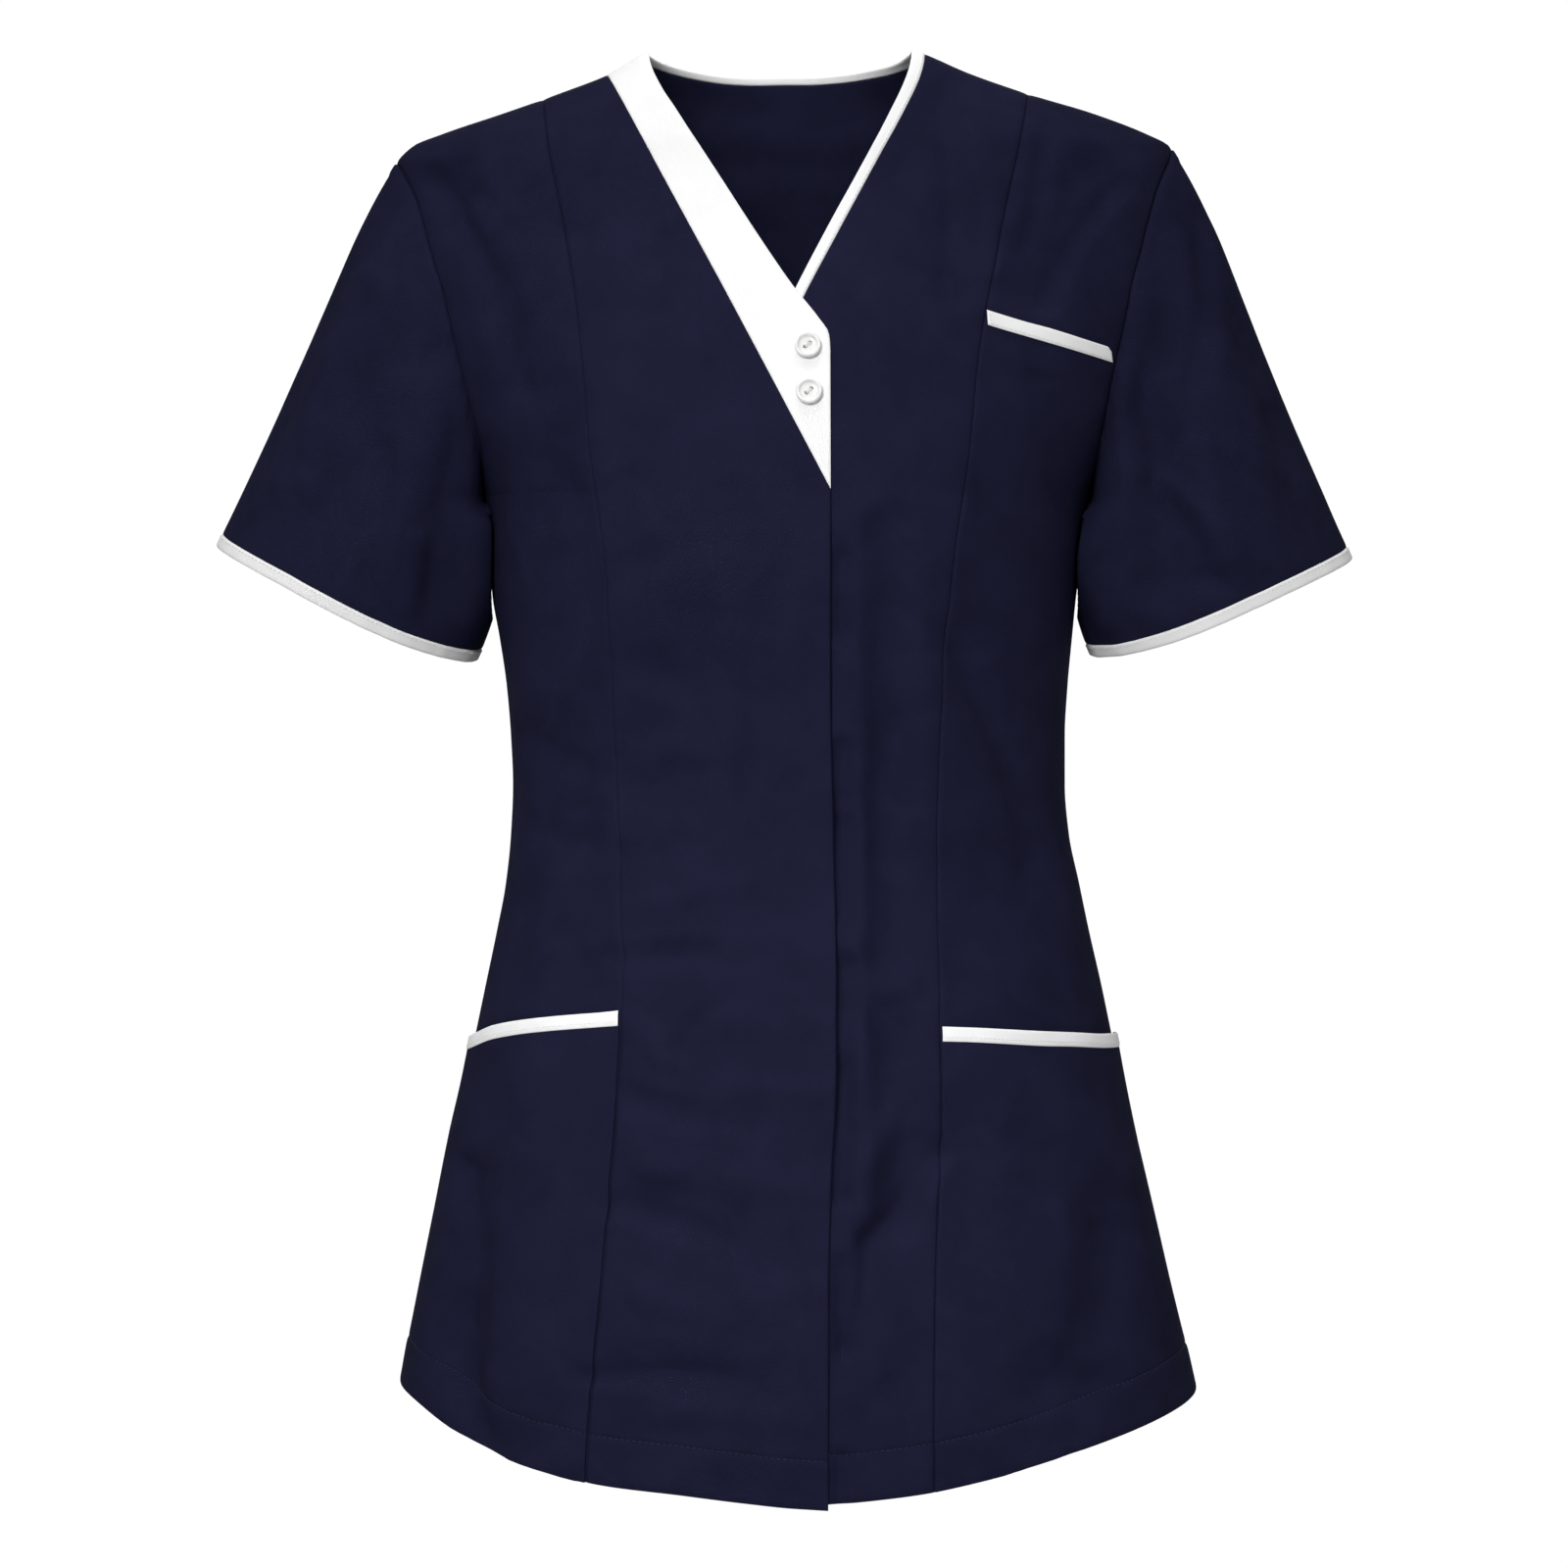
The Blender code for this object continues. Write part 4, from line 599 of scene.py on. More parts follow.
def shell(node, cloth, thickness, material, rolled=ENDS + LONG_SIDES, roll=0.42, seams=(),
          top_normals=None):
    """Thin closed mesh of one piece: its edges rounded off, and its seams sunk in a groove."""
    def rounded(sides):
        return roll * np.clip(1.0 - cloth.away(sides) / EDGE_ROLL, 0.0, 1.0) ** 2

    thickness = np.broadcast_to(thickness, cloth.points.shape[:2])
    drop = rounded(rolled)
    sink = np.zeros(drop.shape)
    if seams:
        away = cloth.away(seams)
        sink = SEAM_SUNK * sum(np.clip(1.0 - away / reach, 0.0, 1.0) ** 2 for reach in SEAM_GROOVE)
        if cloth.closed:
            arc = cloth.steps(1)
            sink = sink * smooth_step(np.minimum(arc, arc[:, -1:] - arc) / 14.0)
        else:
            calm = smooth_step(cloth.steps(0) / 16.0)
            sink = sink * calm
            drop = np.maximum(drop * calm, rounded(ENDS))
    drop = np.minimum(drop, 0.45 * thickness)
    directions = cloth.normals
    if top_normals is not None:
        own = smooth_step(cloth.steps(0) / 4.0)[..., None]
        directions = unit(mix(top_normals[None], directions, own))
    faces = [cloth.points - directions * depth[..., None]
             for depth in (drop + sink, thickness + sink - drop)]
    for side in seams:
        edge, inside = LINE_OF_SIDE[side]
        for points in faces:
            points[edge] += unit(cloth.points[edge] - cloth.points[inside]) * SEAM_MEET
    place(closed_body(f"{node}_cloth", *faces, cloth, material), node)


def closed_body(name, outer, inner, cloth, material):
    """Mesh of the two faces of a piece and its edges, with the weave's places in centimetres."""
    rows, count = outer.shape[:2]
    corners = grid_faces(rows, count, cloth.closed)
    vertices = np.concatenate([outer.reshape(-1, 3), inner.reshape(-1, 3)])
    index = (corners[..., 2] * rows + corners[..., 0]) * count + corners[..., 1] % count
    a, b, c, d = (vertices[index[:, k]] for k in range(4))
    if (a * np.cross(b, c)).sum() + (a * np.cross(c, d)).sum() < 0.0:
        index, corners = index[:, ::-1], corners[:, ::-1]
    down, along = cloth.steps(0), cloth.steps(1)
    if cloth.closed:
        last = np.linalg.norm(outer[:, 0] - outer[:, -1], axis=-1)
        along = np.concatenate([along, along[:, -1:] + last[:, None]], axis=1)
        down = np.concatenate([down, down[:, :1]], axis=1)
    weave = np.stack([along, down.mean(axis=1, keepdims=True) + 0.0 * along], axis=-1) * 0.1
    weave = weave[corners[..., 0], corners[..., 1]]
    piece = mesh_object(name, vertices, index.tolist(), material, smooth=True)
    layer = piece.data.uv_layers.new(name="Weave")
    layer.uv.foreach_set("vector", weave.astype(np.float32).ravel())
    return piece


def tube_faces(rings, sides):
    """Quads between rings of vertices, and the faces of the two ends."""
    quads = [(k * sides + m, k * sides + (m + 1) % sides, (k + 1) * sides + (m + 1) % sides,
              (k + 1) * sides + m) for k in range(rings - 1) for m in range(sides)]
    return quads, [tuple(reversed(range(sides))), tuple(range((rings - 1) * sides, rings * sides))]


def along_line(points):
    """Length along a line of points, at each of them."""
    return np.concatenate([[0.0], np.cumsum(np.linalg.norm(np.diff(points, axis=0), axis=1))])


STITCH_RINGS = np.array([-0.5, -0.36, 0.0, 0.36, 0.5])      # places along a stitch, in its lengths
STITCH_SWELL = np.array([0.35, 0.85, 1.0, 0.85, 0.35])      # radius at each of them, in its radii
STITCH_RISE = np.array([-0.20, 0.10, 0.17, 0.10, -0.20])    # height above the cloth
STITCH_SIDES = 6


def stitches(name, lines, material, pitch=2.9, length=2.2, radius=0.22):
    """The thread that shows along lines of (points, normals)."""
    turns = np.linspace(0.0, 2.0 * math.pi, STITCH_SIDES + 1)[:-1]
    quads, ends = tube_faces(len(STITCH_RINGS), STITCH_SIDES)
    vertices, faces, first = [], [], 0
    for points, normals in lines:
        at = along_line(points)
        middle = np.arange(pitch, at[-1] - 0.5 * pitch, pitch)

        def sample(values, where):
            return np.stack([np.interp(where, at, values[:, k]) for k in range(3)], axis=-1)

        along = unit(sample(points, middle + 0.6) - sample(points, middle - 0.6))
        normal = unit(sample(normals, middle))
        side = unit(np.cross(along, normal))
        spine = (sample(points, middle)[:, None] + along[:, None] * (STITCH_RINGS * length)[:, None]
                 + normal[:, None] * STITCH_RISE[:, None])
        around = (side[:, None] * np.cos(turns)[:, None]
                  + 0.75 * normal[:, None] * np.sin(turns)[:, None])
        ring = spine[:, :, None] + around[:, None] * (STITCH_SWELL * radius)[:, None, None]
        vertices.append(ring.reshape(-1, 3))
        base = first + np.arange(len(ring))[:, None] * len(STITCH_RINGS) * STITCH_SIDES
        faces += (base[:, None] + np.array(quads)).reshape(-1, 4).tolist()
        for end in ends:
            faces += (base + np.array(end)).tolist()
        first += len(vertices[-1])
    place(mesh_object(name, np.concatenate(vertices), faces, material, smooth=True))


# ---- materials ----
class Look:
    """A material, and short ways to its shader and to new nodes."""

    def __init__(self, name):
        self.material = bpy.data.materials.new(name)
        self.material.use_nodes = True
        self.tree = self.material.node_tree

    def shade(self, inputs):
        self.join(self.tree.nodes["Principled BSDF"], inputs)
        return self.material

    def join(self, node, inputs):
        """Link or set the inputs of a node."""
        for key, value in inputs.items():
            if isinstance(value, bpy.types.NodeSocket):
                self.tree.links.new(value, node.inputs[key])
            else:
                node.inputs[key].default_value = value

    def add(self, kind, inputs=None, **settings):
        """Outputs of a new node."""
        node = self.tree.nodes.new("ShaderNode" + kind)
        for key, value in settings.items():
            setattr(node, key, value)
        self.join(node, inputs or {})
        return node.outputs

    def noise(self, vector, scale, detail, roughness=0.5, distortion=0.0):
        return self.add("TexNoise", {"Vector": vector, "Scale": scale, "Detail": detail,
                                     "Roughness": roughness, "Distortion": distortion})["Fac"]

    def bands(self, vector, scale, distortion, detail, detail_scale, direction="DIAGONAL"):
        inputs = {"Vector": vector, "Scale": scale, "Distortion": distortion, "Detail": detail,
                  "Detail Scale": detail_scale}
        return self.add("TexWave", inputs, wave_type="BANDS", bands_direction=direction,
                        wave_profile="SIN")["Fac"]

    def total(self, *terms):
        """Sum of values, each multiplied by its weight."""
        found = None
        for value, weight in terms:
            part = self.add("Math", {0: value, 1: weight}, operation="MULTIPLY")[0]
            found = part if found is None else self.add("Math", {0: found, 1: part})[0]
        return found

    def ramp(self, value, low, high, start=0.0, end=1.0):
        """Colour that passes from low to high while the value passes from start to end."""
        node = self.tree.nodes.new("ShaderNodeValToRGB")
        self.join(node, {"Fac": value})
        for stop, at, color in zip(node.color_ramp.elements, (start, end), (low, high)):
            stop.position, stop.color = at, (*color, 1.0)
        return node.outputs["Color"]

    def between(self, value, low, high, start=0.0, end=1.0):
        return self.add("MapRange", {"Value": value, "From Min": start, "From Max": end,
                                     "To Min": low, "To Max": high})["Result"]

    def relief(self, height, strength, distance, **under):
        return self.add("Bump", {"Height": height, "Strength": strength, "Distance": distance * MM,
                                 **under})["Normal"]


def twill(name, dark, light, roughness, clouds, specular, depth):
    """Woven cloth: fine diagonal ribs, uneven yarns and a soft cloudy change of shade."""
    look = Look(name)
    places = look.add("TexCoord")
    weave, space = places["UV"], places["Object"]
    ribs = look.bands(weave, 0.444 / (TWILL_PITCH * 0.1), 0.6, 1.0, 3.0)
    yarn = look.bands(weave, 0.314 / (TWILL_PITCH * 0.062), 1.2, 1.0, 2.0, "X")
    slub = look.noise(weave, 16.0, 3.0, 0.6)
    shade = look.noise(space, 14.0, 3.0, 0.55)
    fuzz = look.noise(space, 900.0, 2.0, 0.7)
    cloud = look.noise(space, 42.0, 4.0, 0.6, 0.4)
    blend = look.total((ribs, 0.30), (slub, 0.45), (fuzz, 0.30), (shade, 0.35))
    color = look.ramp(blend, dark, light, 0.35, 0.95)
    tone = look.between(cloud, 1.0 - clouds, 1.0 + clouds, 0.32, 0.68)
    toned = look.add("VectorMath", {0: color, 1: tone}, operation="MULTIPLY")["Vector"]
    fine = look.relief(look.total((ribs, 0.7), (yarn, 0.3)), 0.55, depth)
    look.material.diffuse_color = (*light, 1.0)
    return look.shade({"Base Color": toned, "Specular IOR Level": specular,
                       "Normal": look.relief(fuzz, 0.35, 0.12, Normal=fine),
                       "Roughness": look.between(slub, roughness - 0.06, roughness + 0.08)})


def thread(name, color, roughness):
    """Twisted sewing thread."""
    look = Look(name)
    twist = look.bands(look.add("TexCoord")["Object"], 420.0, 0.8, 2.0, 1.0)
    return look.shade({"Base Color": look.ramp(twist, [c * 0.85 for c in color], color),
                       "Normal": look.relief(twist, 0.5, 0.1), "Roughness": roughness,
                       "Specular IOR Level": 0.35})


def resin(name):
    """White button resin with a faint cloud in it and fine turning marks."""
    look = Look(name)
    space = look.add("TexCoord")["Object"]
    cloud = look.noise(space, 160.0, 3.0)
    color = look.ramp(cloud, (0.74, 0.735, 0.725), (0.82, 0.82, 0.82), 0.3, 0.7)
    marks = look.noise(space, 1400.0, 2.0)
    return look.shade({"Base Color": color, "Normal": look.relief(marks, 0.12, 0.05),
                       "Roughness": look.between(cloud, 0.24, 0.36), "Specular IOR Level": 0.5,
                       "Subsurface Weight": 0.12, "Subsurface Radius": (1.0, 0.95, 0.9),
                       "Subsurface Scale": 0.0008})


TWILL_PITCH = 0.75      # distance between the ribs
NAVY = twill("navy_twill_cloth", (0.0077, 0.0083, 0.0244), (0.0142, 0.0150, 0.0382), 0.84, 0.12,
             0.02, 0.16)
WHITE = twill("white_twill_cloth", (0.85, 0.848, 0.852), (0.91, 0.908, 0.91), 0.82, 0.010, 0.15, 0.08)
NAVY_THREAD = thread("navy_thread", (0.014, 0.0145, 0.042), 0.6)
WHITE_THREAD = thread("white_thread", (0.84, 0.84, 0.84), 0.55)
RESIN = resin("white_resin")

# ---- torso panels ----
# Plain lengths of the grids' rows, from which the number of their columns comes.
FRONT_WIDTH, SIDE_WIDTH, SHOULDER_LENGTH, BAND_WIDTH, BINDING_WIDTH = 108.0, 70.0, 48.0, 22.0, 6.6
PANEL_SPACING = 2.5
NECK_COLUMNS = 57


def shoulder_top(start, end, u):
    x = mix(start, end, u)
    return x, shoulder_z(x)


def neck_curve(start, end, drop, share):
    x = mix(start, end, share)
    level = mix(shoulder_z(np.array(start)), shoulder_z(np.array(end)), share)
    return x, level - drop * (1.0 - np.abs(2.0 * share - 1.0) ** BACK_NECK_ROUND)


def back_top(start, end, u):
    """Shoulder seam, neck and shoulder seam, at shares of the back's width."""
    neck_share = 0.5 - 0.5 * np.cos(math.pi * np.clip((u - NECK_FROM) / (NECK_TO - NECK_FROM), 0, 1))
    right = shoulder_top(start, NECK_RIGHT_X, np.clip(u / NECK_FROM, 0, 1))
    left = shoulder_top(NECK_LEFT_X, end, np.clip((u - NECK_TO) / (1.0 - NECK_TO), 0, 1))
    neck = neck_curve(NECK_RIGHT_X, NECK_LEFT_X, BACK_NECK_DROP, neck_share)
    return [np.where(u <= NECK_FROM, a, np.where(u >= NECK_TO, b, c))
            for a, b, c in zip(right, left, neck)]


def princess_top(side):
    """Where a princess seam meets the shoulder seam."""
    x = side * PRINCESS_TOP_X
    for _ in range(8):
        x = float(princess_x(side)(shoulder_z(np.array(x))))
    return x


def back_shares():
    shoulder = even_shares(SHOULDER_LENGTH, 2.6, (True, False)) * NECK_FROM
    neck = np.linspace(NECK_FROM, NECK_TO, NECK_COLUMNS)
    return np.unique(np.round(np.concatenate([shoulder, neck, 1.0 - shoulder]), 6))


u_front, u_side = even_shares(FRONT_WIDTH, PANEL_SPACING), even_shares(SIDE_WIDTH, PANEL_SPACING)
u_back = back_shares()
seam_right, seam_left = princess_x(-1), princess_x(1)
top_right, top_left = princess_top(-1), princess_top(1)
top_side_right = shoulder_top(-float(half_width(-1, RIGHT_TIP_Z)), top_right, u_side)
top_side_left = shoulder_top(top_left, float(half_width(1, LEFT_TIP_Z)), u_side)
front_right = panel(FRONT, seam_right, right_front_edge,
                    shoulder_top(top_right, BAND_TOP_X, u_front), u_front, "right")
side_right = panel(FRONT, side_x(-1, FRONT), seam_right, top_side_right, u_side, "right")
front_left = panel(FRONT, left_front_edge, seam_left,
                   shoulder_top(NECK_LEFT_X, top_left, u_front), u_front, "left")
side_left = panel(FRONT, seam_left, side_x(1, FRONT), top_side_left, u_side, "left")
back = panel(BACK, seam_right, seam_left, back_top(top_right, top_left, u_back), u_back, "back")
back_right = panel(BACK, side_x(-1, BACK), seam_right, top_side_right, u_side, "back")
back_left = panel(BACK, seam_left, side_x(1, BACK), top_side_left, u_side, "back")


def hemmed(cloth):
    """Thickness of a panel: double below the hem's stitches."""
    return mix(CLOTH, HEM_FOLDED, smooth_step((HEM_DEPTH + 0.8 - cloth.above_hem) / 1.2))


def front_edge_thickness(cloth):
    """The right front is folded double along its free edge."""
    near_edge = smooth_step((30.0 - cloth.away(("end",))) / 1.5)
    below = smooth_step((ARMPIT_Z - cloth.points[..., 2]) / 6.0)
    return np.maximum(hemmed(cloth), mix(CLOTH, FOLDED, near_edge * below))


shell("front_left", front_left, hemmed(front_left), NAVY, seams=("end",))
for name, cloth in (("back", back), ("side_front_right", side_right),
                    ("side_front_left", side_left), ("side_back_right", back_right),
                    ("side_back_left", back_left)):
    shell(name, cloth, hemmed(cloth), NAVY, seams=LONG_SIDES)
shell("front_right", front_right, front_edge_thickness(front_right), NAVY, roll=0.5,
      seams=("start",))

# ---- hip pockets ----
def hip_pocket(name, side_panel):
    """Pocket over the side panel from its mouth to the hem, and the white trim on its mouth."""
    pocket = side_panel.below(MOUTH_ROW)
    edge = np.minimum(pocket.away(LONG_SIDES) / 9.0, 1.0)
    gape = bump(pocket.away(("top",)), 60.0) * smooth_step(edge) * 1.3
    face = pocket.lifted(POCKET_LIFT - 0.25 * (1.0 - smooth_step(edge)) + gape)
    above_hem = side_panel.above_hem[MOUTH_ROW + POCKET_TOP:]
    thickness = mix(CLOTH, POCKET_HEM, smooth_step((HEM_DEPTH - above_hem) / 1.2))
    shell(f"hip_pocket_{name}", face.below(POCKET_TOP), thickness, NAVY)
    at = np.linspace(0.0, 1.0, 13) * TRIM_STEPS
    low = np.minimum(at.astype(int), TRIM_STEPS - 1)
    share = (at - low)[:, None, None]
    points = mix(face.points[low], face.points[low + 1], share)
    plain = unit(mix(face.normals[low], face.normals[low + 1], share))
    trim = Cloth(points + plain * (TRIM_LIFT - POCKET_LIFT), plain)
    shell(f"hip_trim_{name}", trim, TRIM_CLOTH, WHITE)
    return face, trim


pocket_right, trim_right = hip_pocket("right", side_right)
pocket_left, trim_left = hip_pocket("left", side_left)
hem_lines = [cloth.line(STITCH_ROW) for cloth in (front_right, front_left, back, back_right,
                                                  back_left, pocket_right, pocket_left)]

# ---- neck band and bindings ----
BAND_INNER = ((-68.0, 1.5), (-66.3, -6.5), (-60.9, -18.7), (-53.4, -30.6), (-42.3, -48.8),
              (-27.8, -72.3), (-13.2, -95.4), (2.8, -119.3), (15.6, -135.8), (20.0, -143.0),
              (20.6, -151.0), (20.6, -216.9))
BINDING_INNER = ((61.0, 2.3), (60.4, -4.0), (59.0, -10.4), (55.9, -18.7), (50.2, -30.8),
                 (44.3, -42.8), (31.9, -66.2), (19.4, -89.6), (4.7, -118.4), (UNDERLAP_X, -153.0))
BACK_NECK_OUTER = (NECK_RIGHT_X, NECK_LEFT_X, BACK_NECK_DROP)
BACK_NECK_INNER = (-68.0, 61.0, 7.0)
BAND_SEAM_SHARE = 0.992     # shares of the way down to the armpits at which two seams end
LEFT_SEAM_SHARE = 0.77


def path(points):
    """View line through a few points, by the share of its length."""
    points = np.array(points, dtype=float)
    at = along_line(points)
    across, rise = (Curve(at / at[-1], points[:, k]) for k in (0, 1))
    return lambda share: (across(share), rise(share))


def strip(face, layer, first, second, row_shares, u, shoulder_rows=(0,)):
    """Narrow cloth between two view lines, lying a little proud of the form."""
    (ax, az), (bx, bz) = first(row_shares), second(row_shares)
    x, z = mix(ax[:, None], bx[:, None], u[None]), mix(az[:, None], bz[:, None], u[None])
    z = np.minimum(z, shoulder_z(x))
    for row in shoulder_rows:
        z[row] = shoulder_z(x[row])
    points, plain = seen_spot(x, z, face, layer)
    return Cloth(points + plain * PROUD, plain)


def sewn_line(share):
    top = shoulder_z(np.array(BAND_TOP_X))
    level = mix(top, ARMPIT_Z, share * BAND_SEAM_SHARE)
    return right_front_edge(level), level


def left_neck_line(share):
    level = mix(0.4, ARMPIT_Z, share)
    return left_front_edge(level), level


free_line = path(BINDING_INNER)
u_binding = even_shares(BINDING_WIDTH, 1.1)
band = strip(FRONT, "right", sewn_line, path(BAND_INNER), UPPER,
             even_shares(BAND_WIDTH, 2.0))
shell("neck_band", band, FOLDED, WHITE, roll=0.5)
binding_left = strip(FRONT, "left", lambda share: free_line(share / LEFT_SEAM_SHARE),
                     left_neck_line, UPPER[UPPER <= LEFT_SEAM_SHARE], u_binding)
shell("neck_binding_left", binding_left, FOLDED, WHITE, roll=0.55)
binding_back = strip(BACK, "back", lambda share: neck_curve(*BACK_NECK_INNER, share),
                     lambda share: neck_curve(*BACK_NECK_OUTER, share),
                     0.5 - 0.5 * np.cos(np.linspace(0.0, math.pi, 73)), u_binding, (0, -1))
shell("neck_binding_back", binding_back, FOLDED, WHITE, roll=0.55)

# ---- chest pocket ----
(MOUTH_X0, MOUTH_Z0), (MOUTH_X1, MOUTH_Z1) = (95.6, -130.0), (156.0, -146.3)
CHEST_WELT, WELT_LENGTH = 7.0, 62.0
BAG_DEPTH, BAG_WIDTH = 62.0, 56.0
BAG_INSET = 4.0
WELT_PROUD = 1.15
BAG_BEHIND = CLOTH + 0.5    # the bag hangs this far behind the face of the panel


def chest_mouth(x):
    return MOUTH_Z0 + (x - MOUTH_X0) * ((MOUTH_Z1 - MOUTH_Z0) / (MOUTH_X1 - MOUTH_X0))


def chest_cloth(x, z, lift):
    points, plain = seen_spot(x, z, FRONT, "left")
    return Cloth(points + plain * lift, plain)


v, u = even_shares(CHEST_WELT, 1.0)[:, None], even_shares(WELT_LENGTH, 2.0)[None]
x = mix(MOUTH_X0 + 0.6 * v, MOUTH_X1 + 1.0 * v - 1.6 * np.maximum(0.25 - v, 0.0) * 4.0, u)
z = chest_mouth(x) - CHEST_WELT * v + 0.5 * np.sin(u * 5.0) * (1.0 - v) * 0.4
welt = chest_cloth(x, z, WELT_PROUD)
shell("chest_welt", welt, 1.0, WHITE)

v, u = even_shares(BAG_DEPTH, 3.0)[:, None], even_shares(BAG_WIDTH, 3.0)[None]
x = mix(MOUTH_X0 + BAG_INSET, MOUTH_X1 - BAG_INSET, u)
z = mix(chest_mouth(x) - CHEST_WELT, MOUTH_Z0 - CHEST_WELT - BAG_DEPTH, v)
shell("chest_pocket_bag", chest_cloth(x, z, -BAG_BEHIND), CLOTH, NAVY)

# ---- sleeves ----
# The cuff: centre x and z, half size in x and z, depth, tilt, droop, and bow of the sleeve's head.
SLEEVES = {-1: (212.8, -262.2, 63.4, 28.2, 50.0, 6.2, 4.0, 2.6),
           1: (210.2, -264.0, 63.8, 23.8, 50.0, 6.4, 4.0, 3.4)}
# Folds down a sleeve: place from its top (0) to its underside (1), start and end on the way down
# to the cuff, half width and height.
SLEEVE_FOLDS = {
    (-1, FRONT): ((0.20, 0.10, 1.00, 0.10, 3.0), (0.36, 0.30, 0.95, 0.09, -4.0),
                  (0.56, 0.20, 1.00, 0.11, 3.5)),
    (-1, BACK): ((0.34, 0.15, 0.90, 0.12, -4.0), (0.60, 0.30, 1.00, 0.12, 3.0)),
    (1, FRONT): ((0.26, 0.15, 0.70, 0.10, 3.0), (0.55, 0.20, 0.85, 0.14, -5.0),
                 (0.78, 0.55, 1.00, 0.10, 3.0)),
    (1, BACK): ((0.30, 0.10, 0.85, 0.12, -4.0), (0.58, 0.30, 1.00, 0.12, 3.0)),
}
SLEEVE_LENGTH, SLEEVE_SPACING = 190.0, 2.6
SLEEVE_FULLNESS = 7.0
SLEEVE_CLEARANCE = 1.6
SLEEVE_LEAN = 10.0          # the front of the underside leans towards the body, most at this place
SLEEVE_LEAN_PLACE = 0.82
CUFF_BINDING = 6.5
CUFF_STITCH = 1.4           # stitch line below the sleeve's edge
SEAM_RIDGE = 5.0            # width of the turned-under seam that shows beside each armhole


def armhole_ring(side_panel, behind, column):
    """Armhole points from the shoulder down the front and up the back, and their directions."""
    last = len(UPPER)
    down, up = (slice(last), column), (slice(last - 2, 0, -1), column)
    return [np.concatenate(lines) for lines in zip(side_panel.line(down), behind.line(up))]


def ring_turns(ring):
    """Angle round the cuff for each armhole point: 0 at the top, pi at the underside."""
    under = len(UPPER) - 1
    at = along_line(np.concatenate([ring, ring[:1]]))
    front = math.pi * at[:under + 1] / at[under]
    behind = math.pi + math.pi * (at[under + 1:-1] - at[under]) / (at[-1] - at[under])
    return np.concatenate([front, behind])


def sleeve_form(side, ring, turn, along):
    """The plain sleeve from its armhole to its cuff."""
    centre_x, centre_z, half_x, half_z, depth, tilt, droop, head_bow = SLEEVES[side]
    c, s = np.cos(turn), np.sin(turn)
    cuff = np.stack([side * (centre_x + half_x * c), -depth * s,
                     centre_z + half_z * c - tilt * s - droop * s * s * (0.5 - c)], axis=-1)
    middle = 4.0 * along * (1.0 - along)
    early = 12.2 * along * (1.0 - along) ** 4
    bow = (head_bow * early * np.maximum(c, 0.0) ** 2)[..., None]
    form = mix(ring[None], cuff, along[..., None]) + np.array([side * 0.9, 0.0, 0.44]) * bow
    form[..., 1] -= s * SLEEVE_FULLNESS * middle
    lean = bump(np.abs(turn / math.pi - SLEEVE_LEAN_PLACE), 0.3)
    lean = SLEEVE_LEAN * (lean * smooth_step((ARMPIT_Z - form[..., 2]) / 15.0))
    form[..., 0] -= side * middle * (4.0 * np.maximum(-c, 0.0) ** 2 + lean)
    return form


def sleeve_cloth(side, ring, name):
    turn = ring_turns(ring)[None]
    along = even_shares(SLEEVE_LENGTH, SLEEVE_SPACING)[:, None]
    form = sleeve_form(side, ring, turn, along)
    plain = Cloth(form, form - form.mean(axis=1, keepdims=True), closed=True).normals
    around = np.where(turn <= math.pi, turn / math.pi, 2.0 - turn / math.pi)
    height = np.zeros(form.shape[:2])
    for face in (FRONT, BACK):
        on_face = (turn <= math.pi) == (face == FRONT)
        for at, start, end, half, fold in SLEEVE_FOLDS[side, face]:
            beyond = np.maximum(np.maximum(start - along, along - end), 0.0)
            fade = 1.0 - smooth_step(beyond / 0.2)
            height += on_face * fold * fade * bump(np.abs(around - at), half)
    x, z, s = form[..., 0], form[..., 2], np.sin(turn)
    height += smooth_step(s / 0.4) * crease_height(x, z, f"sleeve_{name}_front")
    height += smooth_step(-s / 0.4) * crease_height(x, z, f"sleeve_{name}_back")
    height += unevenness(x + 40.0 * s, z, side) * (0.15 + 0.85 * smooth_step(np.abs(s) / 0.4))
    height *= smooth_step(along / 0.25) * (0.25 + 0.75 * smooth_step((1.0 - along) / 0.12))
    form = clear_of_torso(form + plain * height[..., None], side)
    form[0] = ring
    cloth = Cloth(form, plain, closed=True)
    down, arc = cloth.steps(0), cloth.steps(1)
    ridge = 0.55 * smooth_step(down / 1.2) * (1.0 - smooth_step((down - SEAM_RIDGE) / 1.6))
    pucker = 0.22 * ripple(arc, 1.9, 1.3, 17.0) * np.exp(-(down / 7.0) ** 2)
    to_cuff = down[-1:] - down
    pucker += 0.20 * ripple(arc, 2.7, 1.4, 21.0, 0.3, 33.0) * np.exp(-(to_cuff / 8.0) ** 2)
    return cloth.lifted(ridge * smooth_step(0.9 - around) + pucker * smooth_step(down))


def clear_of_torso(points, side):
    """Sleeve points moved out until they are clear of the torso beside them."""
    x, y, z = points[..., 0], points[..., 1], points[..., 2]
    depth = np.where(y > 0.0, FORM["back"](z), FORM["front"](z))
    share = np.minimum(np.abs(y) / depth, 1.0)
    reach = half_width(side, z) * (1.0 - share ** SQUARENESS) ** (1.0 / SQUARENESS)
    least = reach + SLEEVE_CLEARANCE * smooth_step((ARMPIT_Z + 4.0 - z) / 20.0)
    moved = np.where(z < ARMPIT_Z + 4.0, np.maximum(np.abs(x), least), np.abs(x))
    return np.stack([side * moved, y, z], axis=-1)


def ring_average(values, reach):
    """Mean of the values round a ring, over the points within reach on both sides."""
    return sum(np.roll(values, k, axis=0) for k in range(-reach, reach + 1)) / (2 * reach + 1)


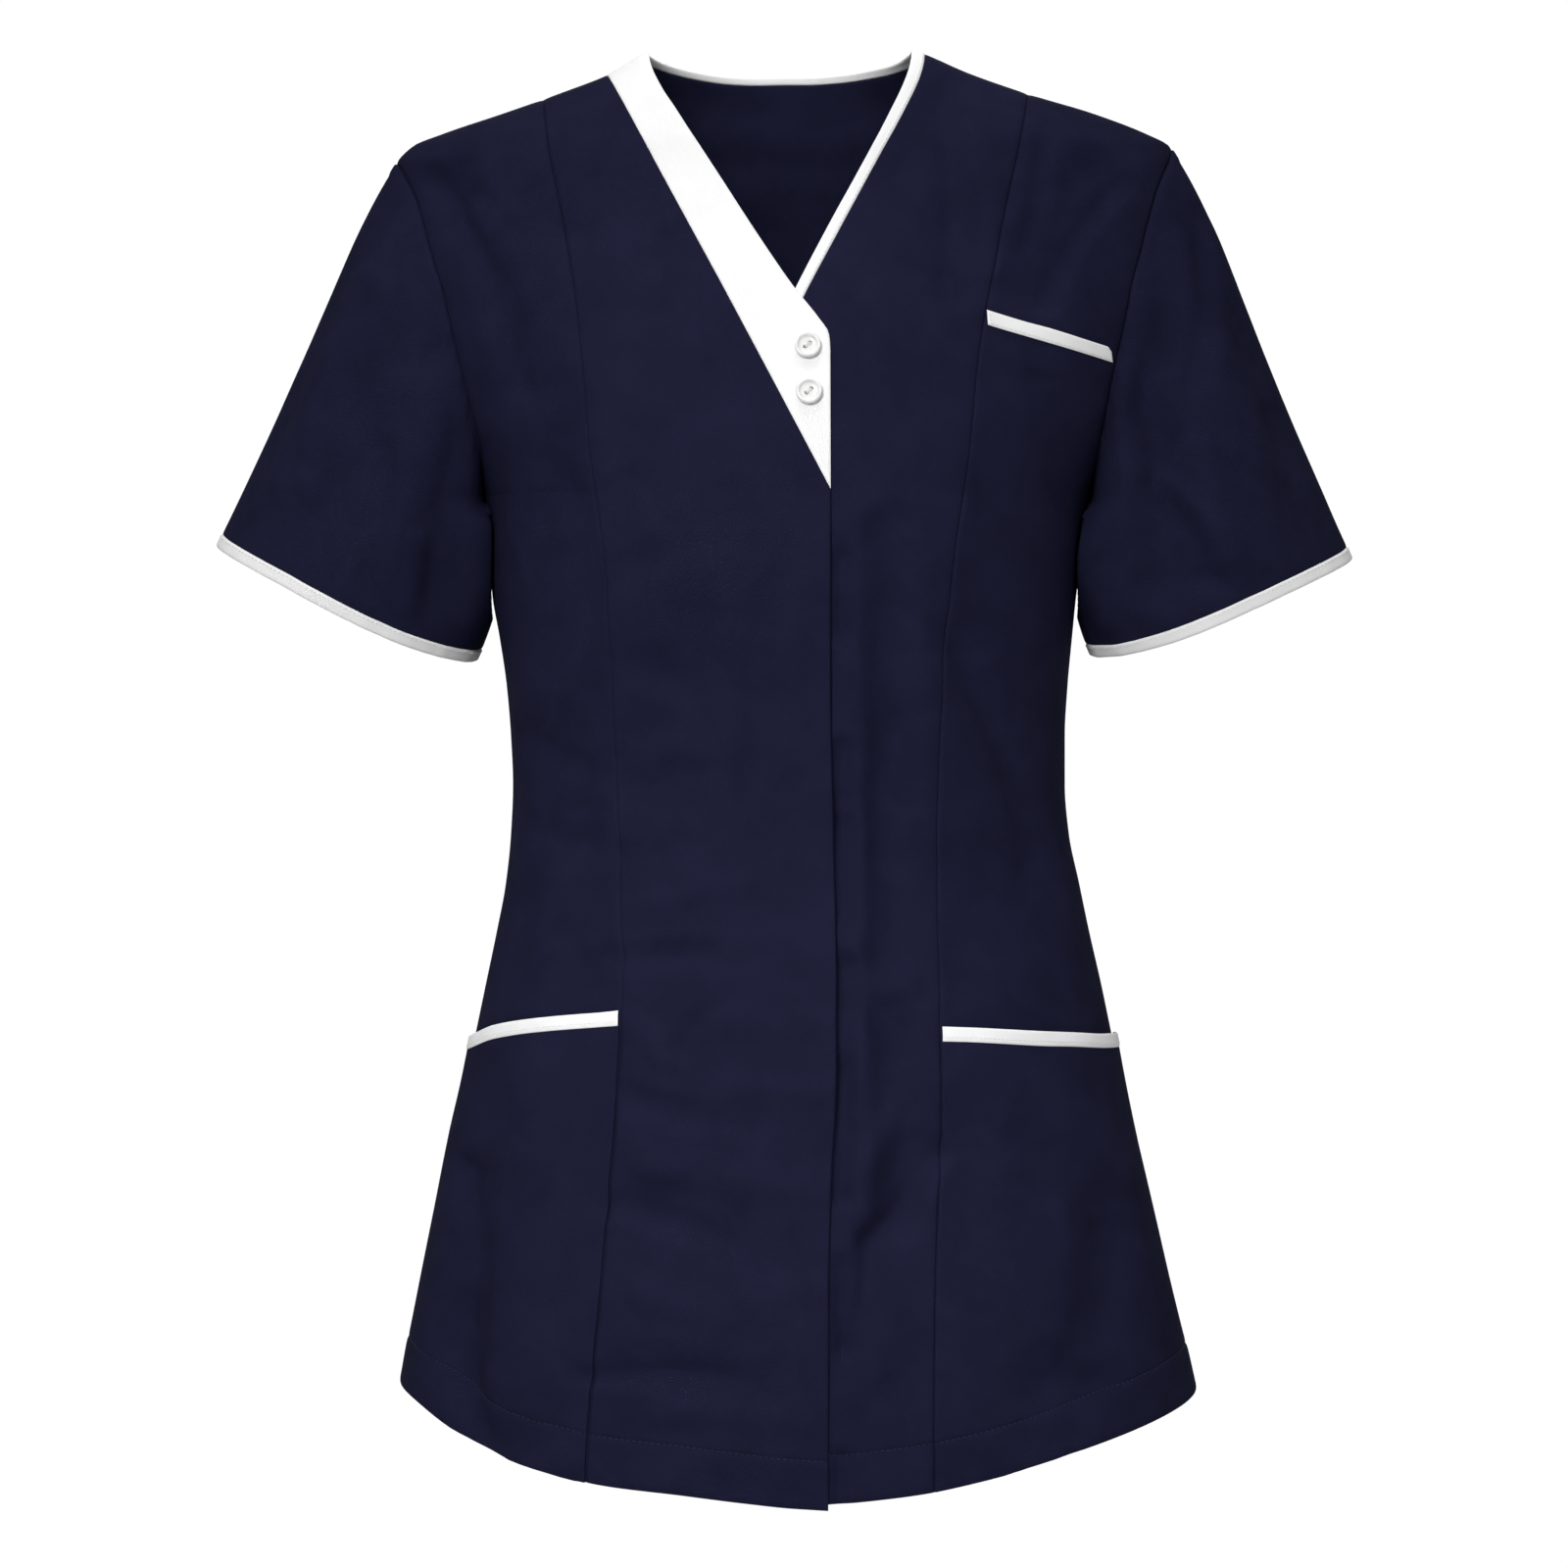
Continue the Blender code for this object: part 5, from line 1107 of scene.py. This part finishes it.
cuff_lines = []
for side, side_panel, behind, name, column in ((-1, side_right, back_right, "right", 0),
                                               (1, side_left, back_left, "left", -1)):
    ring, ring_normals = armhole_ring(side_panel, behind, column)
    cloth = sleeve_cloth(side, ring, name)
    shell(f"sleeve_{name}", cloth, CLOTH, NAVY, rolled=ENDS, seams=("top",),
          top_normals=ring_normals)
    rim = cloth.points[-1]
    onward = unit(ring_average(rim - cloth.points[-7], 9))
    normal = unit(ring_average(cloth.normals[-1], 2))
    down = even_shares(CUFF_BINDING, 1.0) * CUFF_BINDING
    outward = normal * (0.45 + 0.08 * ripple(along_line(rim), 1.7, 1.0, 13.0))[:, None]
    binding = Cloth(rim + onward * down[:, None, None] + outward, normal[None], closed=True)
    shell(f"cuff_binding_{name}", binding, CUFF_FOLDED, WHITE, rolled=ENDS, roll=0.6)
    row = int(np.argmin(np.abs(down - CUFF_STITCH)))
    cuff_lines.append([np.concatenate([line, line[:1]]) for line in binding.line(row)])

# ---- stitching ----
stitches("hem_stitches", hem_lines, NAVY_THREAD)
edge_lines = [(trim_right, -5), (trim_left, -5), (binding_left, (ALL, -4)),
              (binding_back, (ALL, -4)), (welt, -4), (welt, (ALL, 3)), (welt, (ALL, -4))]
edge_lines = cuff_lines + [cloth.line(index) for cloth, index in edge_lines]
stitches("edge_stitches", edge_lines, WHITE_THREAD, pitch=2.4, length=1.8, radius=0.18)

# ---- buttons ----
BUTTONS = ((9.8, -149.0, 40.0), (10.4, -171.0, 42.0))   # x, z and tilt of the holes in degrees
BUTTON_SEAT = 0.5       # back of a button above the form
HOLE_RADIUS = 0.85
HOLE_SPACING = 3.0
# Turned profiles, as distance from the axis and height: the button from its back over the rim to
# its dished face, and the body that cuts a hole.
PROFILE = ((0.0, 0.0), (4.4, 0.0), (5.3, 0.2), (5.9, 0.65), (6.25, 1.25), (6.4, 1.9), (6.3, 2.45),
           (6.0, 2.85), (5.6, 3.02), (5.15, 2.98), (4.8, 2.78), (4.5, 2.45), (4.2, 2.15), (3.8, 2.0),
           (3.2, 1.9), (2.4, 1.86), (1.2, 1.84), (0.0, 1.84))
CUTTER = ((0.0, -1.0), (HOLE_RADIUS, -1.0), (HOLE_RADIUS, 1.45), (HOLE_RADIUS + 0.22, 1.9),
          (HOLE_RADIUS + 0.3, 4.0), (0.0, 4.0))
STRANDS = (-0.42, 0.0, 0.42)    # sideways places of the threads
STRAND_RADIUS = 0.17
STRAND_TOP = 2.12


def turned(profile, sides):
    """Vertices and faces of a body turned round its axis."""
    vertices, rings, faces = [], [], []
    for radius, height in profile:
        count = sides if radius else 1
        rings.append(range(len(vertices), len(vertices) + count))
        turns = [2.0 * math.pi * i / sides for i in range(count)]
        vertices += [(radius * math.cos(turn), radius * math.sin(turn), height) for turn in turns]
    for low, high in zip(rings, rings[1:]):
        for i in range(sides):
            j = (i + 1) % sides
            faces.append(((low[i], low[j]) if len(low) > 1 else (low[0],))
                         + ((high[j], high[i]) if len(high) > 1 else (high[0],)))
    return np.array(vertices), faces


def strand(spine, radius, sides=8):
    """Round thread along a few points."""
    tangent = unit(np.gradient(spine, axis=0))
    side = unit(np.cross(tangent, np.array([0.31, 0.95, 0.05])))
    up = np.cross(side, tangent)
    turns = np.linspace(0.0, 2.0 * math.pi, sides + 1)[:-1, None]
    ring = spine[:, None] + radius * (side[:, None] * np.cos(turns) + up[:, None] * np.sin(turns))
    quads, ends = tube_faces(len(spine), sides)
    return ring.reshape(-1, 3), quads + ends


def resin_body(number, holes_along):
    """The button, turned, with its two holes cut."""
    body = mesh_object(f"button_{number}_resin", *turned(PROFILE, 56))
    holes = []
    for k, sign in enumerate((-1.0, 1.0)):
        vertices, faces = turned(CUTTER, 24)
        vertices = vertices + holes_along * sign * HOLE_SPACING / 2.0
        holes.append(mesh_object(f"hole_{k}", vertices, faces))
        cut = body.modifiers.new(f"hole_{k}", "BOOLEAN")
        cut.operation, cut.solver, cut.object = "DIFFERENCE", "EXACT", holes[-1]
    bpy.context.view_layer.update()
    evaluated = body.evaluated_get(bpy.context.evaluated_depsgraph_get())
    mesh = bpy.data.meshes.new_from_object(evaluated)
    body.modifiers.clear()
    body.data = mesh
    for hole in holes:
        bpy.data.objects.remove(hole)
    mesh.shade_smooth()
    mesh.set_sharp_from_angle(angle=math.radians(35.0))
    mesh.materials.clear()
    mesh.materials.append(RESIN)
    return body


def button(number, x, z, tilt):
    """Two-hole button, sewn on with a few strands of thread."""
    point, outward = seen_spot(np.array(x), np.array(z), FRONT, "right")
    outward = unit(outward)
    across = unit(np.cross(np.array([0.0, 0.0, 1.0]), outward))
    turn = np.stack([across, np.cross(outward, across), outward])
    tilt = math.radians(tilt)
    holes_along = np.array([math.cos(tilt), math.sin(tilt), 0.0])
    sideways = np.array([-holes_along[1], holes_along[0], 0.0])
    body = resin_body(number, holes_along)
    vertices, faces = [], []
    for offset in STRANDS:
        spine = []
        for t in np.linspace(-1.0, 1.0, 15):
            reach = HOLE_SPACING / 2.0 * np.sign(t) * min(abs(t) / 0.75, 1.0)
            height = STRAND_TOP - 0.04 * abs(offset) - 2.6 * max(abs(t) - 0.72, 0.0) ** 1.2 * 4.0
            spine.append(holes_along * reach + sideways * offset * (1.0 - 0.25 * abs(t))
                         + np.array([0.0, 0.0, max(height, -0.35)]))
        ring, quads = strand(np.array(spine), STRAND_RADIUS)
        faces += [tuple(len(vertices) + v for v in quad) for quad in quads]
        vertices += ring.tolist()
    threads = mesh_object(f"button_{number}_thread", vertices, faces, WHITE_THREAD, smooth=True)
    for made in (body, threads):
        flat = np.empty(len(made.data.vertices) * 3)
        made.data.vertices.foreach_get("co", flat)
        moved = flat.reshape(-1, 3) @ turn + (point + outward * BUTTON_SEAT) * MM
        made.data.vertices.foreach_set("co", moved.ravel())
        made.data.update()
    place(body, f"button_{number}")
    place(threads)


for number, spot in enumerate(BUTTONS, start=1):
    button(number, *spot)

# ---- floor, light and camera ----
# From here on lengths are in metres.
def staged(name, corners, material):
    made = mesh_object(name, corners, [tuple(range(len(corners)))], material, scale=1.0)
    return made


FLOOR_RADIUS, FLOOR_Z = 2.1, -1.05
SCREEN_Y = 5.6
PALE = Look("pale_floor").shade({"Base Color": (0.80, 0.80, 0.80, 1.0), "Roughness": 0.9})
GLOWING = Look("white_screen").shade({"Base Color": (0.0, 0.0, 0.0, 1.0), "Emission Strength": 1.0,
                                      "Emission Color": (1.0, 1.0, 1.0, 1.0)})
staged("floor", [(FLOOR_RADIUS * math.cos(a), FLOOR_RADIUS * math.sin(a), FLOOR_Z)
                 for a in np.linspace(0.0, 2.0 * math.pi, 65)[:-1]], PALE)
screen = staged("screen", [(x, SCREEN_Y, z) for x, z in ((-1.5, -2.0), (1.5, -2.0), (1.5, 1.3),
                                                         (-1.5, 1.3))], GLOWING)
screen.visible_diffuse = screen.visible_glossy = False

world = bpy.data.worlds.new("studio")
bpy.context.scene.world = world
world.use_nodes = True
background = world.node_tree.nodes["Background"].inputs
background["Color"].default_value = (1.0, 1.0, 1.0, 1.0)
background["Strength"].default_value = 0.40


def area_light(name, place_at, aim, size, energy, spread=180.0):
    lamp = bpy.data.lights.new(name, "AREA")
    lamp.shape = "RECTANGLE"
    lamp.size, lamp.size_y = size
    lamp.energy = energy
    lamp.spread = math.radians(spread)
    made = link(name, lamp)
    made.location = place_at
    direction = Vector(aim) - Vector(place_at)
    made.rotation_euler = direction.to_track_quat("-Z", "Y").to_euler()
    made.visible_camera = False


KEY = (-0.45, -1.65, 0.50)
area_light("key", KEY, (0.0, -0.1, -0.50), (0.4, 0.4), 1.75, 50.0)
area_light("key_chest", KEY, (0.0, -0.1, -0.15), (0.25, 0.25), 0.03, 17.0)
area_light("key_waist", KEY, (0.0, -0.1, -0.42), (0.25, 0.25), 0.04, 17.0)
area_light("front_hips", (0.05, -2.00, 0.20), (0.0, -0.1, -0.58), (0.25, 0.25), 0.06, 15.0)
area_light("top", (0.0, -0.25, 0.90), (0.0, 0.0, -0.10), (0.5, 0.4), 4.2)
area_light("neck_fill", (0.0, -0.05, 0.045), (0.0, 0.075, -0.035), (0.10, 0.03), 0.036, 100.0)
area_light("back_fill", (0.0, 2.2, 0.30), (0.0, 0.0, -0.30), (0.8, 0.8), 14.0)

CAMERA_DISTANCE = 3.5
SEEN_WIDTH = 0.768      # width of the picture at the garment
camera = bpy.data.cameras.new("camera")
camera.sensor_width = 36.0
camera.lens = camera.sensor_width * CAMERA_DISTANCE / SEEN_WIDTH
camera_object = link("camera", camera)
camera_object.location = (-0.0014, -CAMERA_DISTANCE, -0.3566)
camera_object.rotation_euler = (math.radians(90.0), 0.0, 0.0)
bpy.context.scene.camera = camera_object
bpy.context.scene.view_settings.view_transform = "Standard"
